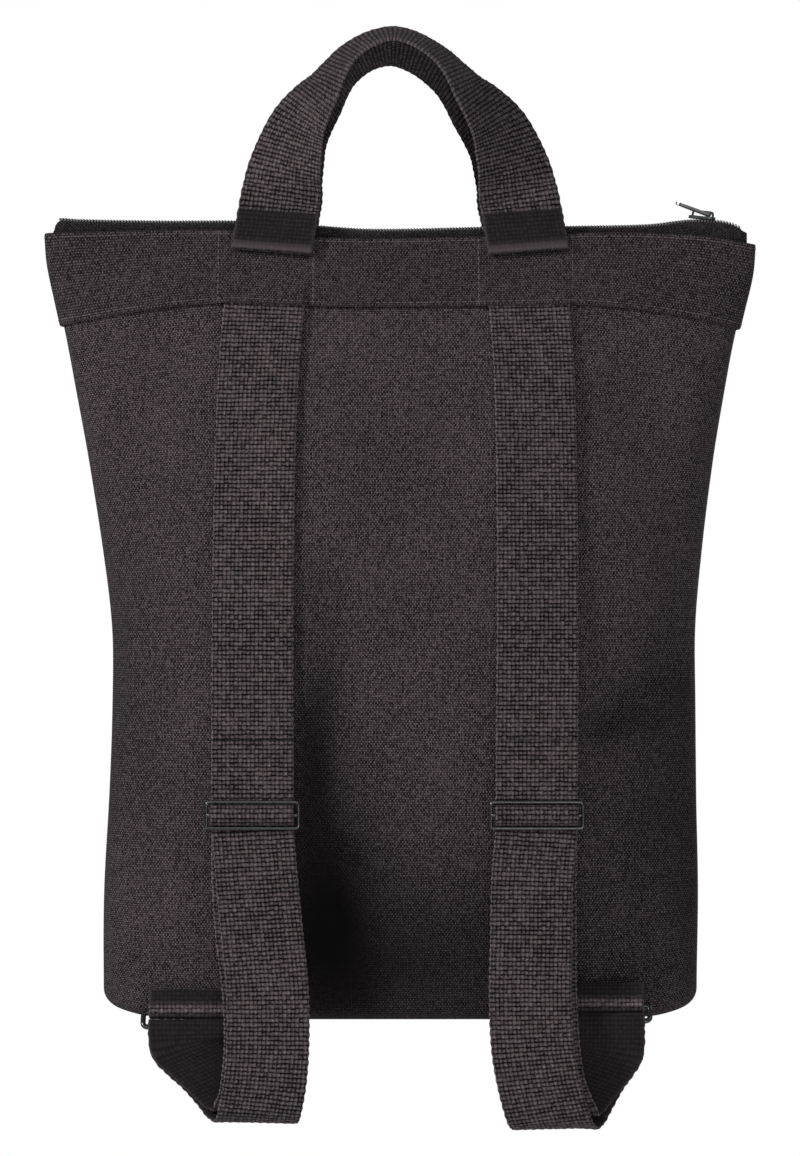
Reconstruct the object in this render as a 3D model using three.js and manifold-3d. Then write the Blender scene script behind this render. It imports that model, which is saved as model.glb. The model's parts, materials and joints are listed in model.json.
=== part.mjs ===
// Convertible backpack, back side towards -Y: a hollow canvas tote body with a zipped mouth, two webbing
// carry handles and two adjustable webbing shoulder straps. Millimetres, +Z up, +X to the right of someone
// looking at the straps. The origin is where the bag hangs: under the crown of the carry handles.
import * as THREE from 'three';
import { mergeVertices } from 'three/addons/utils/BufferGeometryUtils.js';
import Module from 'manifold-3d';

const wasm = await Module();
wasm.setup();

// Body
const bagHeight = 388;
const topWidth = 351;
const bodyDepth = 102;
const clothWall = 2;
const baseEdgeRadius = 9;
const seatGap = 0.3;
// Hem band round the mouth
const bandHeight = 37;
const bandWall = 1.6;
const bandGap = 0.6;
const bandDroop = 11.5;
// Webbing
const webWidth = 40;
const webThickness = 1.8;
// Carry handles
const handleSpacing = 124;
const handleRise = 103;
const handleTail = 19;
const handleTuck = 10;
const handleParting = 0.6;
const backHandleTilt = 17;
const frontHandleTilt = 19.5;
const handleSplay = 9;
const handleSway = 3.5;
const frontHandleSkew = 0.09;
// Zip
const zipTapeWall = 0.9;
const zipTapeRise = 4;
const zipTapeInside = 12;
const coilWidth = 2.5;
const coilHeight = 2.2;
const coilParting = 1.5;
const sliderLength = 13.6;
const sliderFromEnd = 24.5;
const zipEndInset = 8;
const zipStartDip = 3.6;
const zipStartRun = 9;
const zipEndDrop = 4.2;
const tapeLean = 1.2;
const pullerLength = 18.5;
const pullerWidth = 7;
const pullerWall = 1.2;
const pullerRest = 14;
// Shoulder straps
const restGap = 0.8;
const strapSpacing = 138;
const strapDrift = -2.6;
const buckleHeight = 100;
const buckleWidth = 46.4;
const buckleBar = 1.8;
const strapTail = 30;
const strapFoot = 1.5;
const loopDrop = 49;
const loopDepth = 18;
const rightLoopExtra = 3;
// Strap rings at the base corners
const ringSpacing = 201;
const ringWidth = 48;
const ringWire = 2.6;
const ringPitch = 8.2;
const ringLean = 38;
const ringShift = -1.7;
const ringFoot = 3.4;
const rightRingLift = 3;
const tabHeight = 13;

const sliderPlace = topWidth / 2 - sliderFromEnd;
const aroundSteps = 48;

// Body sections from the base to the mouth: height, width and depth as shares, and how square each is.
const bodySections = [
  { height: 0.000, width: 0.839, depth: 0.82, square: 4.6 },
  { height: 0.150, width: 0.842, depth: 0.90, square: 3.9 },
  { height: 0.280, width: 0.833, depth: 0.97, square: 3.2 },
  { height: 0.400, width: 0.828, depth: 1.00, square: 2.9 },
  { height: 0.490, width: 0.829, depth: 0.99, square: 2.7 },
  { height: 0.587, width: 0.851, depth: 0.94, square: 2.5 },
  { height: 0.710, width: 0.890, depth: 0.80, square: 2.3 },
  { height: 0.800, width: 0.925, depth: 0.64, square: 2.3 },
  { height: 0.867, width: 0.952, depth: 0.51, square: 2.5 },
  { height: 0.910, width: 0.972, depth: 0.41, square: 2.9 },
  { height: 0.960, width: 0.994, depth: 0.28, square: 4.0 },
  { height: 1.000, width: 1.000, depth: 0.18, square: 7.0 },
];

// The mouth waves a little: its lift along the half width, as a share of the bag's height.
const mouthWave = [
  { along: -1.00, lift: 0.000 },
  { along: -0.90, lift: 0.008 },
  { along: -0.50, lift: 0.007 },
  { along: -0.18, lift: -0.005 },
  { along: 0.25, lift: -0.002 },
  { along: 0.60, lift: 0.003 },
  { along: 0.85, lift: 0.000 },
  { along: 1.00, lift: -0.012 },
];

// One half of a carry handle from the top of its tail to the crown: rise and reach towards the middle as
// shares of the handle's rise and half spacing, and how far the webbing has turned on edge.
const handleArch = [
  { rise: 0.200, reach: 0.056, turn: 0.12 },
  { rise: 0.305, reach: 0.081, turn: 0.28 },
  { rise: 0.469, reach: 0.147, turn: 0.46 },
  { rise: 0.551, reach: 0.194, turn: 0.56 },
  { rise: 0.634, reach: 0.260, turn: 0.67 },
  { rise: 0.716, reach: 0.344, turn: 0.78 },
  { rise: 0.800, reach: 0.427, turn: 0.87 },
  { rise: 0.875, reach: 0.520, turn: 0.93 },
  { rise: 0.940, reach: 0.660, turn: 0.97 },
  { rise: 0.982, reach: 0.820, turn: 0.99 },
  { rise: 1.000, reach: 1.000, turn: 1.00 },
];

// The hanging loops below the buckles: down is a share of the way from buckle to loop bottom, out a share
// of the loop's depth, left and right shares of the way from the strap's line to its ring.
const innerLayer = [
  { down: 0.17, out: 0.06, left: 0.00, right: -0.02 },
  { down: 0.36, out: 0.15, left: -0.06, right: -0.02 },
  { down: 0.55, out: 0.30, left: -0.17, right: -0.02 },
  { down: 0.72, out: 0.46, left: -0.21, right: 0.02 },
  { down: 0.85, out: 0.52, left: -0.17, right: 0.10 },
  { down: 0.925, out: 0.38, left: -0.11, right: 0.22 },
  { down: 0.948, out: 0.14, left: -0.03, right: 0.31 },
  { down: 0.915, out: -0.10, left: 0.13, right: 0.43 },
  { down: 0.850, out: -0.08, left: 0.43, right: 0.64 },
  { down: 0.785, out: 0.00, left: 0.74, right: 0.87 },
  { down: 0.740, out: 0.13, left: 0.97, right: 0.99 },
];
const outerLayer = [
  { down: 0.745, out: -0.16, left: 0.99, right: 1.00 },
  { down: 0.785, out: -0.23, left: 0.82, right: 0.90 },
  { down: 0.835, out: -0.29, left: 0.58, right: 0.75 },
  { down: 0.905, out: -0.38, left: 0.30, right: 0.58 },
  { down: 0.970, out: -0.24, left: 0.08, right: 0.42 },
  { down: 1.000, out: 0.20, left: -0.05, right: 0.28 },
  { down: 0.965, out: 0.72, left: -0.12, right: 0.17 },
  { down: 0.850, out: 0.94, left: -0.22, right: 0.02 },
  { down: 0.720, out: 0.90, left: -0.26, right: -0.08 },
  { down: 0.550, out: 0.72, left: -0.25, right: -0.11 },
  { down: 0.360, out: 0.48, left: -0.16, right: -0.09 },
  { down: 0.170, out: 0.27, left: -0.07, right: -0.07 },
];

const radians = THREE.MathUtils.degToRad;
const bandFoot = bagHeight - bandHeight;
const climbShares = [0.1, 0.19, 0.28, 0.37, 0.45, 0.53, 0.61, 0.69, 0.76, 0.83, 0.89, 0.95];
const bandHeights = [0, 0.25, 0.5, 0.75, 1].map((share) => bandFoot + bandHeight * share);
const halfWeb = webThickness / 2;
const layerPitch = webThickness + seatGap;
const rim = bodySections[bodySections.length - 1];
const rimDepth = bodyDepth * rim.depth / 2;
const rimSquare = rim.square;
const crownHeight = bagHeight + handleRise;

// Smooth curve through one column of a table, read at a place in another column.
function readTable(rows, placeKey, valueKey, place) {
  const last = rows.length - 1;
  let i = 0;
  while (i < last - 1 && place > rows[i + 1][placeKey]) i += 1;
  const slope = (k) => {
    const low = rows[Math.max(k - 1, 0)];
    const high = rows[Math.min(k + 1, last)];
    return (high[valueKey] - low[valueKey]) / (high[placeKey] - low[placeKey]);
  };
  const span = rows[i + 1][placeKey] - rows[i][placeKey];
  const t = THREE.MathUtils.clamp((place - rows[i][placeKey]) / span, 0, 1);
  const t2 = t * t;
  const t3 = t2 * t;
  return (2 * t3 - 3 * t2 + 1) * rows[i][valueKey] + (t3 - 2 * t2 + t) * span * slope(i)
    + (3 * t2 - 2 * t3) * rows[i + 1][valueKey] + (t3 - t2) * span * slope(i + 1);
}

function bodySection(height) {
  const share = height / bagHeight;
  return {
    halfWidth: topWidth / 2 * readTable(bodySections, 'height', 'width', share),
    halfDepth: bodyDepth / 2 * readTable(bodySections, 'height', 'depth', share),
    square: readTable(bodySections, 'height', 'square', share),
  };
}

// The mouth's wave fades in over the top fifth of the bag.
function waveLift(x, height) {
  const fade = THREE.MathUtils.smoothstep(height, bagHeight * 0.8, bagHeight);
  const along = THREE.MathUtils.clamp(2 * x / topWidth, -1, 1);
  return fade * bagHeight * readTable(mouthWave, 'along', 'lift', along);
}

// The hem band's lower edge droops towards the side seams: how far a ring of it hangs below its own height.
function bandSag(x, height) {
  const outer = THREE.MathUtils.clamp((2 * Math.abs(x) / topWidth - 0.46) / 0.52, 0, 1.1);
  return bandDroop * outer ** 1.5 * (bagHeight - height) / bandHeight;
}

// One ring of the body's skin at a height, grown outwards by an offset and drawn in by an inset; it may sag.
function skinRing(height, offset, inset = 0, sag = () => 0) {
  const skinPoint = (angle, level) => {
    const { halfWidth, halfDepth, square } = bodySection(level);
    const c = Math.cos(angle);
    const s = Math.sin(angle);
    const reach = (Math.abs(c) ** square + Math.abs(s) ** square) ** (-1 / square);
    const x = (halfWidth + offset - inset) * reach * c;
    const y = (halfDepth + offset - inset) * reach * s;
    return new THREE.Vector3(x, y, level + waveLift(x, level));
  };
  return Array.from({ length: aroundSteps }, (_, i) => {
    const angle = 2 * Math.PI * i / aroundSteps;
    return skinPoint(angle, height - sag(skinPoint(angle, height).x, height));
  });
}

// A point off one face of the body, side -1 for the back face with the straps and +1 for the front face.
function facePoint(x, height, offset, side = -1) {
  const skin = (px, pz) => {
    const { halfWidth, halfDepth, square } = bodySection(pz);
    const share = Math.min(Math.abs(px) / halfWidth, 0.999);
    const depth = halfDepth * (1 - share ** square) ** (1 / square);
    return new THREE.Vector3(px, side * depth, pz + waveLift(px, pz));
  };
  const step = 0.5;
  const along = skin(x + step, height).sub(skin(x - step, height));
  const up = skin(x, Math.min(height + step, bagHeight)).sub(skin(x, height - step));
  const normal = along.cross(up).normalize();
  if (normal.y * side < 0) normal.negate();
  return skin(x, height).addScaledVector(normal, offset);
}

// Closed solid from rings of equal point counts. Open strings of rings get a fan at each end; a looped
// string closes on its first ring.
function solidFromRings(rings, looped = false) {
  const count = rings[0].length;
  const positions = [];
  const index = [];
  for (const ring of rings) for (const p of ring) positions.push(p.x, p.y, p.z);
  const bands = looped ? rings.length : rings.length - 1;
  for (let r = 0; r < bands; r += 1) {
    const next = (r + 1) % rings.length;
    for (let i = 0; i < count; i += 1) {
      const j = (i + 1) % count;
      const a = r * count + i;
      const b = r * count + j;
      const c = next * count + j;
      const d = next * count + i;
      index.push(a, b, c, a, c, d);
    }
  }
  if (!looped) {
    for (const [r, flip] of [[0, true], [rings.length - 1, false]]) {
      const centre = rings[r].reduce((sum, p) => sum.add(p), new THREE.Vector3()).divideScalar(count);
      const hub = positions.length / 3;
      positions.push(centre.x, centre.y, centre.z);
      for (let i = 0; i < count; i += 1) {
        const a = r * count + i;
        const b = r * count + (i + 1) % count;
        index.push(...(flip ? [hub, b, a] : [hub, a, b]));
      }
    }
  }
  if (signedVolume(positions, index) < 0) {
    for (let i = 0; i < index.length; i += 3) [index[i], index[i + 1]] = [index[i + 1], index[i]];
  }
  const geometry = new THREE.BufferGeometry();
  geometry.setAttribute('position', new THREE.Float32BufferAttribute(positions, 3));
  geometry.setIndex(index);
  return geometry;
}

function signedVolume(positions, index) {
  const corner = (k) => new THREE.Vector3().fromArray(positions, 3 * index[k]);
  let volume = 0;
  for (let i = 0; i < index.length; i += 3) {
    volume += corner(i).dot(corner(i + 1).cross(corner(i + 2)));
  }
  return volume;
}

function tangentAt(points, i) {
  return points[Math.min(i + 1, points.length - 1)].clone().sub(points[Math.max(i - 1, 0)]).normalize();
}

// A direction turned square to a path's tangent.
function squaredTo(tangent, direction) {
  return direction.clone().addScaledVector(tangent, -direction.dot(tangent)).normalize();
}

// Flat webbing along a path: stations hold a point and the direction of the webbing's width.
function ribbonSolid(stations, width, thickness) {
  const path = stations.map(({ point }) => point);
  const rings = stations.map(({ point, across }, i) => {
    const face = tangentAt(path, i).cross(across).normalize();
    return [[-1, -1], [1, -1], [1, 1], [-1, 1]].map(([u, v]) => point.clone()
      .addScaledVector(across, u * width / 2)
      .addScaledVector(face, v * thickness / 2));
  });
  return solidFromRings(rings);
}

function toManifold(geometry) {
  const bare = geometry.clone();
  for (const name of Object.keys(bare.attributes)) if (name !== 'position') bare.deleteAttribute(name);
  const merged = mergeVertices(bare, 1e-4);
  return new wasm.Manifold(new wasm.Mesh({
    numProp: 3,
    vertProperties: new Float32Array(merged.attributes.position.array),
    triVerts: new Uint32Array(merged.index.array),
  }));
}

function fromManifold(solid) {
  const mesh = solid.getMesh();
  const geometry = new THREE.BufferGeometry();
  geometry.setAttribute('position', new THREE.Float32BufferAttribute(mesh.vertProperties, 3));
  geometry.setIndex([...mesh.triVerts]);
  return geometry;
}

// Joins geometries into one solid.
function joined(geometries) {
  return fromManifold(geometries.map(toManifold).reduce((whole, piece) => whole.add(piece)));
}

function roundedOutline(path, width, height, radius, centreY = 0) {
  const x = width / 2;
  const low = centreY - height / 2;
  const high = centreY + height / 2;
  path.moveTo(-x + radius, low);
  path.lineTo(x - radius, low);
  path.absarc(x - radius, low + radius, radius, -Math.PI / 2, 0);
  path.lineTo(x, high - radius);
  path.absarc(x - radius, high - radius, radius, 0, Math.PI / 2);
  path.lineTo(-x + radius, high);
  path.absarc(-x + radius, high - radius, radius, Math.PI / 2, Math.PI);
  path.lineTo(-x, low + radius);
  path.absarc(-x + radius, low + radius, radius, Math.PI, Math.PI * 1.5);
  return path;
}

// Wire or plate of a given wall, standing in the XZ plane with its thickness along Y and chamfered edges.
function platedShape(shape, wall, chamfer) {
  const geometry = new THREE.ExtrudeGeometry(shape, {
    depth: wall - 2 * chamfer,
    steps: 1,
    curveSegments: 2,
    bevelEnabled: true,
    bevelThickness: chamfer,
    bevelSize: chamfer,
    bevelOffset: -chamfer,
    bevelSegments: 1,
  });
  geometry.translate(0, 0, chamfer - wall / 2);
  geometry.rotateX(Math.PI / 2);
  return geometry;
}

// Hollow canvas body: outer skin up from the base, over the mouth's rim, and down inside to the floor.
function bodyShell() {
  const rings = [];
  const roundSteps = 3;
  for (let i = 0; i <= roundSteps; i += 1) {
    const angle = Math.PI / 2 * i / roundSteps;
    const height = baseEdgeRadius * (1 - Math.cos(angle));
    rings.push(skinRing(height, 0, baseEdgeRadius * (1 - Math.sin(angle))));
  }
  const climb = [...climbShares.map((share) => bandFoot * share), ...bandHeights];
  for (const height of climb) rings.push(skinRing(height, 0));
  for (const height of [...climb].reverse()) rings.push(skinRing(height, -clothWall));
  const innerRadius = baseEdgeRadius - clothWall;
  for (let i = roundSteps; i >= 0; i -= 1) {
    const angle = Math.PI / 2 * i / roundSteps;
    const height = clothWall + innerRadius * (1 - Math.cos(angle));
    rings.push(skinRing(height, -clothWall, innerRadius * (1 - Math.sin(angle))));
  }
  return solidFromRings(rings);
}

// Hem band: a second canvas wall round the outside of the mouth.
function hemBand() {
  const outside = bandHeights.map((height) => skinRing(height, bandGap + bandWall, 0, bandSag));
  const inside = bandHeights.map((height) => skinRing(height, bandGap, 0, bandSag));
  return solidFromRings([...outside, ...inside.reverse()], true);
}

// Where the zip runs at a place along the mouth.
const zipHalfRun = topWidth / 2 - clothWall - zipEndInset;
const coilRise = zipTapeRise + coilHeight / 2;

function zipPlace(x) {
  const parting = THREE.MathUtils.smoothstep(x, sliderPlace - sliderLength / 2, sliderPlace + sliderLength);
  const pastSlider = THREE.MathUtils.smoothstep(x, sliderPlace + sliderLength / 2, zipHalfRun);
  const startDip = 1 - THREE.MathUtils.smoothstep(x, -zipHalfRun, -zipHalfRun + zipStartRun);
  return {
    height: bagHeight + waveLift(x, bagHeight) + coilRise - zipEndDrop * pastSlider - zipStartDip * startDip,
    open: coilParting * parting,
  };
}

// Stations along the zip, closer together towards the open end.
const zipStations = 32;
const coilInset = 3;

function zipRun(from, to) {
  return Array.from({ length: zipStations + 1 }, (_, i) => from + (to - from) * (1 - (1 - i / zipStations) ** 1.7));
}

// Half of the zip's tape: from inside the canvas up over the rim and in to its coil.
function zipTape(side) {
  const rings = zipRun(-zipHalfRun, zipHalfRun).map((x) => {
    const { height, open } = zipPlace(x);
    const rimHeight = bagHeight + waveLift(x, bagHeight);
    const rimShare = x / (topWidth / 2 - clothWall);
    const wallFace = (rimDepth - clothWall) * (1 - Math.abs(rimShare) ** rimSquare) ** (1 / rimSquare) - bandGap;
    const coilEdge = coilWidth + seatGap * 1.5 + open;
    const low = rimHeight - zipTapeInside;
    const lay = height - coilHeight / 2 + seatGap;
    const bend = zipTapeWall / 2;
    const outline = [
      [wallFace + tapeLean, low],
      [wallFace, rimHeight + bend],
      [wallFace, lay + bend],
      [wallFace - bend, lay + zipTapeWall],
      [coilEdge, lay + zipTapeWall],
      [coilEdge, lay],
      [wallFace - zipTapeWall, lay],
      [wallFace - zipTapeWall, rimHeight - bend],
      [wallFace + tapeLean - zipTapeWall, low],
    ];
    return outline.map(([y, z]) => new THREE.Vector3(x, side * y, z));
  });
  return solidFromRings(rings);
}

// One strand of the coil, side by side with its mate until they part inside the slider.
function zipCoil(side) {
  const half = coilWidth / 2;
  const rings = zipRun(-zipHalfRun + coilInset, zipHalfRun - coilInset).map((x) => {
    const { height, open } = zipPlace(x);
    const centre = side * (half + seatGap / 2 + open);
    return [[-1, 0], [-0.5, -1], [0.5, -1], [1, 0], [0.5, 1], [-0.5, 1]].map(
      ([u, v]) => new THREE.Vector3(x, centre + u * half, height + v * coilHeight / 2));
  });
  return solidFromRings(rings);
}

// Zip slider about its own middle: two plates joined by the wedge that parts the coils, and the crown.
const plateWall = 1.1;
const plateLip = 2.3;
const plateWidth = 2 * (coilWidth + plateLip);
const plateGap = coilHeight + 3 * seatGap;
const crownWidth = 2;
const crownLength = 11;
const crownClear = 2.1;
const crownWall = 1;

function zipSlider() {
  const plate = new THREE.Shape();
  const nose = plateWidth / 2;
  const tail = plateWidth / 2 - 1.2;
  plate.moveTo(-sliderLength / 2, -tail + 1);
  plate.lineTo(-sliderLength / 2 + 1, -tail);
  plate.lineTo(0, -tail);
  plate.quadraticCurveTo(sliderLength / 2 - 4, -nose, sliderLength / 2 - 3, -nose);
  plate.quadraticCurveTo(sliderLength / 2, -nose, sliderLength / 2, 0);
  plate.quadraticCurveTo(sliderLength / 2, nose, sliderLength / 2 - 3, nose);
  plate.quadraticCurveTo(sliderLength / 2 - 4, nose, 0, tail);
  plate.lineTo(-sliderLength / 2 + 1, tail);
  plate.lineTo(-sliderLength / 2, tail - 1);
  plate.closePath();
  const slab = (z) => new THREE.ExtrudeGeometry(plate, { depth: plateWall, bevelEnabled: false, curveSegments: 5 })
    .translate(0, 0, z);
  const wedge = new THREE.Shape();
  wedge.moveTo(sliderLength / 2 - 3.4, 0);
  wedge.lineTo(sliderLength / 2 - 1.2, -0.5);
  wedge.lineTo(sliderLength / 2 - 0.6, 0);
  wedge.lineTo(sliderLength / 2 - 1.2, 0.5);
  wedge.closePath();
  const post = new THREE.ExtrudeGeometry(wedge, { depth: plateGap + 1, bevelEnabled: false })
    .translate(0, 0, -plateGap / 2 - 0.5);
  const arch = new THREE.Shape();
  const outerHeight = crownClear + crownWall;
  arch.moveTo(-crownLength / 2, -0.5);
  arch.lineTo(-crownLength / 2, outerHeight - 1.5);
  arch.quadraticCurveTo(-crownLength / 2, outerHeight, -crownLength / 2 + 2, outerHeight);
  arch.lineTo(crownLength / 2 - 2, outerHeight);
  arch.quadraticCurveTo(crownLength / 2, outerHeight, crownLength / 2, outerHeight - 1.5);
  arch.lineTo(crownLength / 2, -0.5);
  arch.lineTo(crownLength / 2 - crownWall, -0.5);
  arch.lineTo(crownLength / 2 - crownWall, crownClear - 0.5);
  arch.lineTo(crownLength / 2 - crownWall - 0.5, crownClear);
  arch.lineTo(-crownLength / 2 + crownWall + 0.5, crownClear);
  arch.lineTo(-crownLength / 2 + crownWall, crownClear - 0.5);
  arch.lineTo(-crownLength / 2 + crownWall, -0.5);
  arch.closePath();
  const crown = new THREE.ExtrudeGeometry(arch, { depth: crownWidth, bevelEnabled: false, curveSegments: 4 })
    .rotateX(Math.PI / 2)
    .translate(0, crownWidth / 2, plateGap / 2 + plateWall);
  return joined([slab(plateGap / 2), slab(-plateGap / 2 - plateWall), post, crown]);
}

// Puller plate lying from its pivot bar towards -X, with a window for the crown and an oval eye.
function zipPuller() {
  const bar = pullerWall;
  const plate = new THREE.Shape();
  const half = pullerWidth / 2;
  const near = bar / 2;
  const far = -pullerLength + bar / 2;
  plate.moveTo(near, -half + 1);
  plate.lineTo(near, half - 1);
  plate.lineTo(near - 1, half);
  plate.lineTo(far + 6, half - 0.6);
  plate.quadraticCurveTo(far, half - 0.8, far, 0);
  plate.quadraticCurveTo(far, -half + 0.8, far + 6, -half + 0.6);
  plate.lineTo(near - 1, -half);
  plate.closePath();
  const windowLength = crownLength - 2.6;
  const windowHalf = crownWidth / 2 + 0.45;
  const gate = new THREE.Path();
  gate.moveTo(near - bar, -windowHalf);
  gate.lineTo(near - bar - windowLength, -windowHalf);
  gate.lineTo(near - bar - windowLength, windowHalf);
  gate.lineTo(near - bar, windowHalf);
  gate.closePath();
  const eye = new THREE.Path();
  eye.absellipse(far + 4.1, 0, 2.7, 1.5, 0, 2 * Math.PI);
  plate.holes.push(gate, eye);
  return new THREE.ExtrudeGeometry(plate, { depth: pullerWall, bevelEnabled: false, curveSegments: 6 })
    .translate(0, 0, -pullerWall / 2);
}

// Carry handle: tail, fold, up the band, over the arch and down again in mirror image. Its feet splay
// outwards, and its crown sways a little to the left.
function carryHandle(side) {
  const centre = handleSpacing / 2;
  const tiltAtCrown = radians(side < 0 ? backHandleTilt : frontHandleTilt);
  const splay = radians(handleSplay);
  const seatHeight = bagHeight - handleTuck;
  const onBand = bandGap + bandWall + restGap + halfWeb;
  const half = [];
  const flat = new THREE.Vector3(1, 0, 0);
  const fold = layerPitch / 2;
  // The fold lies against the band, which leans: out is off the band and up is along its slope. Above the
  // mouth's edge the leg and the tail outside it both stand upright.
  const footX = centre + handleTuck * Math.tan(splay);
  const foot = facePoint(footX, seatHeight + fold, onBand, side);
  const out = foot.clone().sub(facePoint(footX, seatHeight + fold, 0, side)).setX(0).normalize();
  const slope = new THREE.Vector3(0, -side * out.z, side * out.y);
  const splayed = (direction) => direction.clone().multiplyScalar(Math.cos(splay))
    .addScaledVector(flat, -Math.sin(splay));
  const up = splayed(slope);
  const upright = splayed(new THREE.Vector3(0, 0, 1));
  const acrossFoot = flat.clone().multiplyScalar(Math.cos(splay)).addScaledVector(slope, Math.sin(splay));
  const offFoot = (outward, upward) => ({
    point: foot.clone().addScaledVector(out, outward).addScaledVector(up, Math.min(upward, handleTuck))
      .addScaledVector(upright, Math.max(upward - handleTuck, 0)),
    across: acrossFoot,
  });
  for (const height of [handleTail, handleTuck, handleTuck / 2]) half.push(offFoot(layerPitch, height));
  for (const degrees of [0, 45, 90, 135, 180]) {
    const angle = radians(degrees);
    half.push(offFoot(fold + fold * Math.cos(angle), -fold * Math.sin(angle)));
  }
  for (const height of [handleTuck / 2, handleTuck, handleTail + 1]) half.push(offFoot(0, height));
  const seat = half[half.length - 1].point;
  const crownDepth = side * (webWidth / 2 * Math.cos(tiltAtCrown) + handleParting);
  const archRise = handleRise - webWidth / 2 * Math.sin(tiltAtCrown) - halfWeb;
  const arch = handleArch.map(({ rise, reach, turn }) => ({
    x: centre * (1 - reach),
    z: bagHeight + archRise * rise,
    turn: turn * Math.PI / 2,
    y: THREE.MathUtils.lerp(seat.y, crownDepth, Math.sin(turn * Math.PI / 2)),
  }));
  const curve = new THREE.CatmullRomCurve3(
    [seat, ...arch.map(({ x, y, z }) => new THREE.Vector3(x, y, z))], false, 'centripetal');
  const turns = [0, ...arch.map(({ turn }) => turn)];
  const leaning = new THREE.Vector3(0, -side * Math.cos(tiltAtCrown), Math.sin(tiltAtCrown));
  const steps = 20;
  for (let i = 1; i <= steps; i += 1) {
    const t = i / steps;
    const place = t * (turns.length - 1);
    const k = Math.min(Math.floor(place), turns.length - 2);
    const turn = THREE.MathUtils.lerp(turns[k], turns[k + 1], place - k);
    const tangent = curve.getTangent(t);
    const outward = i < steps ? squaredTo(tangent, flat) : new THREE.Vector3(0, 0, 1);
    const turned = outward.multiplyScalar(Math.cos(turn)).addScaledVector(leaning, Math.sin(turn));
    half.push({ point: curve.getPoint(t), across: squaredTo(tangent, turned) });
  }
  const mirrored = half.slice(0, -1).reverse().map(({ point, across }) => ({
    point: new THREE.Vector3(-point.x, point.y, point.z),
    across: new THREE.Vector3(-across.x, across.y, across.z),
  }));
  const stations = [...half, ...mirrored].map(({ point, across }) => {
    const rise = Math.max(point.z - bagHeight, 0) / archRise;
    const skew = side > 0 ? frontHandleSkew * point.x * rise : 0;
    return { point: new THREE.Vector3(point.x - handleSway * rise ** 2, point.y, point.z - skew), across };
  });
  return ribbonSolid(stations, webWidth, webThickness);
}

// Sizes that the straps share: where the buckle's bars are and how the two layers pass them.
const barRadius = buckleBar / 2;
const barPitch = buckleBar + 2 * webThickness + 3 * seatGap;
const nearBar = barRadius + seatGap + halfWeb;
const farBar = nearBar + layerPitch;

function strapLine(side) {
  const ringX = side * ringSpacing / 2 + ringShift;
  const buckleX = side * strapSpacing / 2 + strapDrift;
  const innerEdge = buckleX - side * buckleWidth / 2;
  const panel = -facePoint(innerEdge, buckleHeight + 2 * barPitch, 0).y;
  const buckleY = -(panel + restGap + farBar + halfWeb);
  return { ringX, buckleX, buckleY };
}

// Where the ring's two bars lie: the upper in the tab's fold, the lower carrying the strap.
function ringBars(side) {
  const { ringX } = strapLine(side);
  const lift = side > 0 ? rightRingLift : 0;
  const base = -facePoint(ringX - side * webWidth / 2, tabHeight, restGap).y;
  const upper = new THREE.Vector3(ringX, -(base + layerPitch + seatGap + ringWire / 2), ringFoot + lift);
  const lower = upper.clone();
  lower.y -= ringPitch * Math.sin(radians(ringLean));
  lower.z -= ringPitch * Math.cos(radians(ringLean));
  return { upper, lower };
}

// The strap's own sideways drift down the back: share of the webbing's width from the buckle's line.
const strapWander = [
  { down: 0.0, left: 0.13, right: -0.08 },
  { down: 0.2, left: 0.05, right: -0.01 },
  { down: 0.5, left: 0.01, right: 0.01 },
  { down: 1.0, left: 0.00, right: 0.00 },
];

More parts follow.
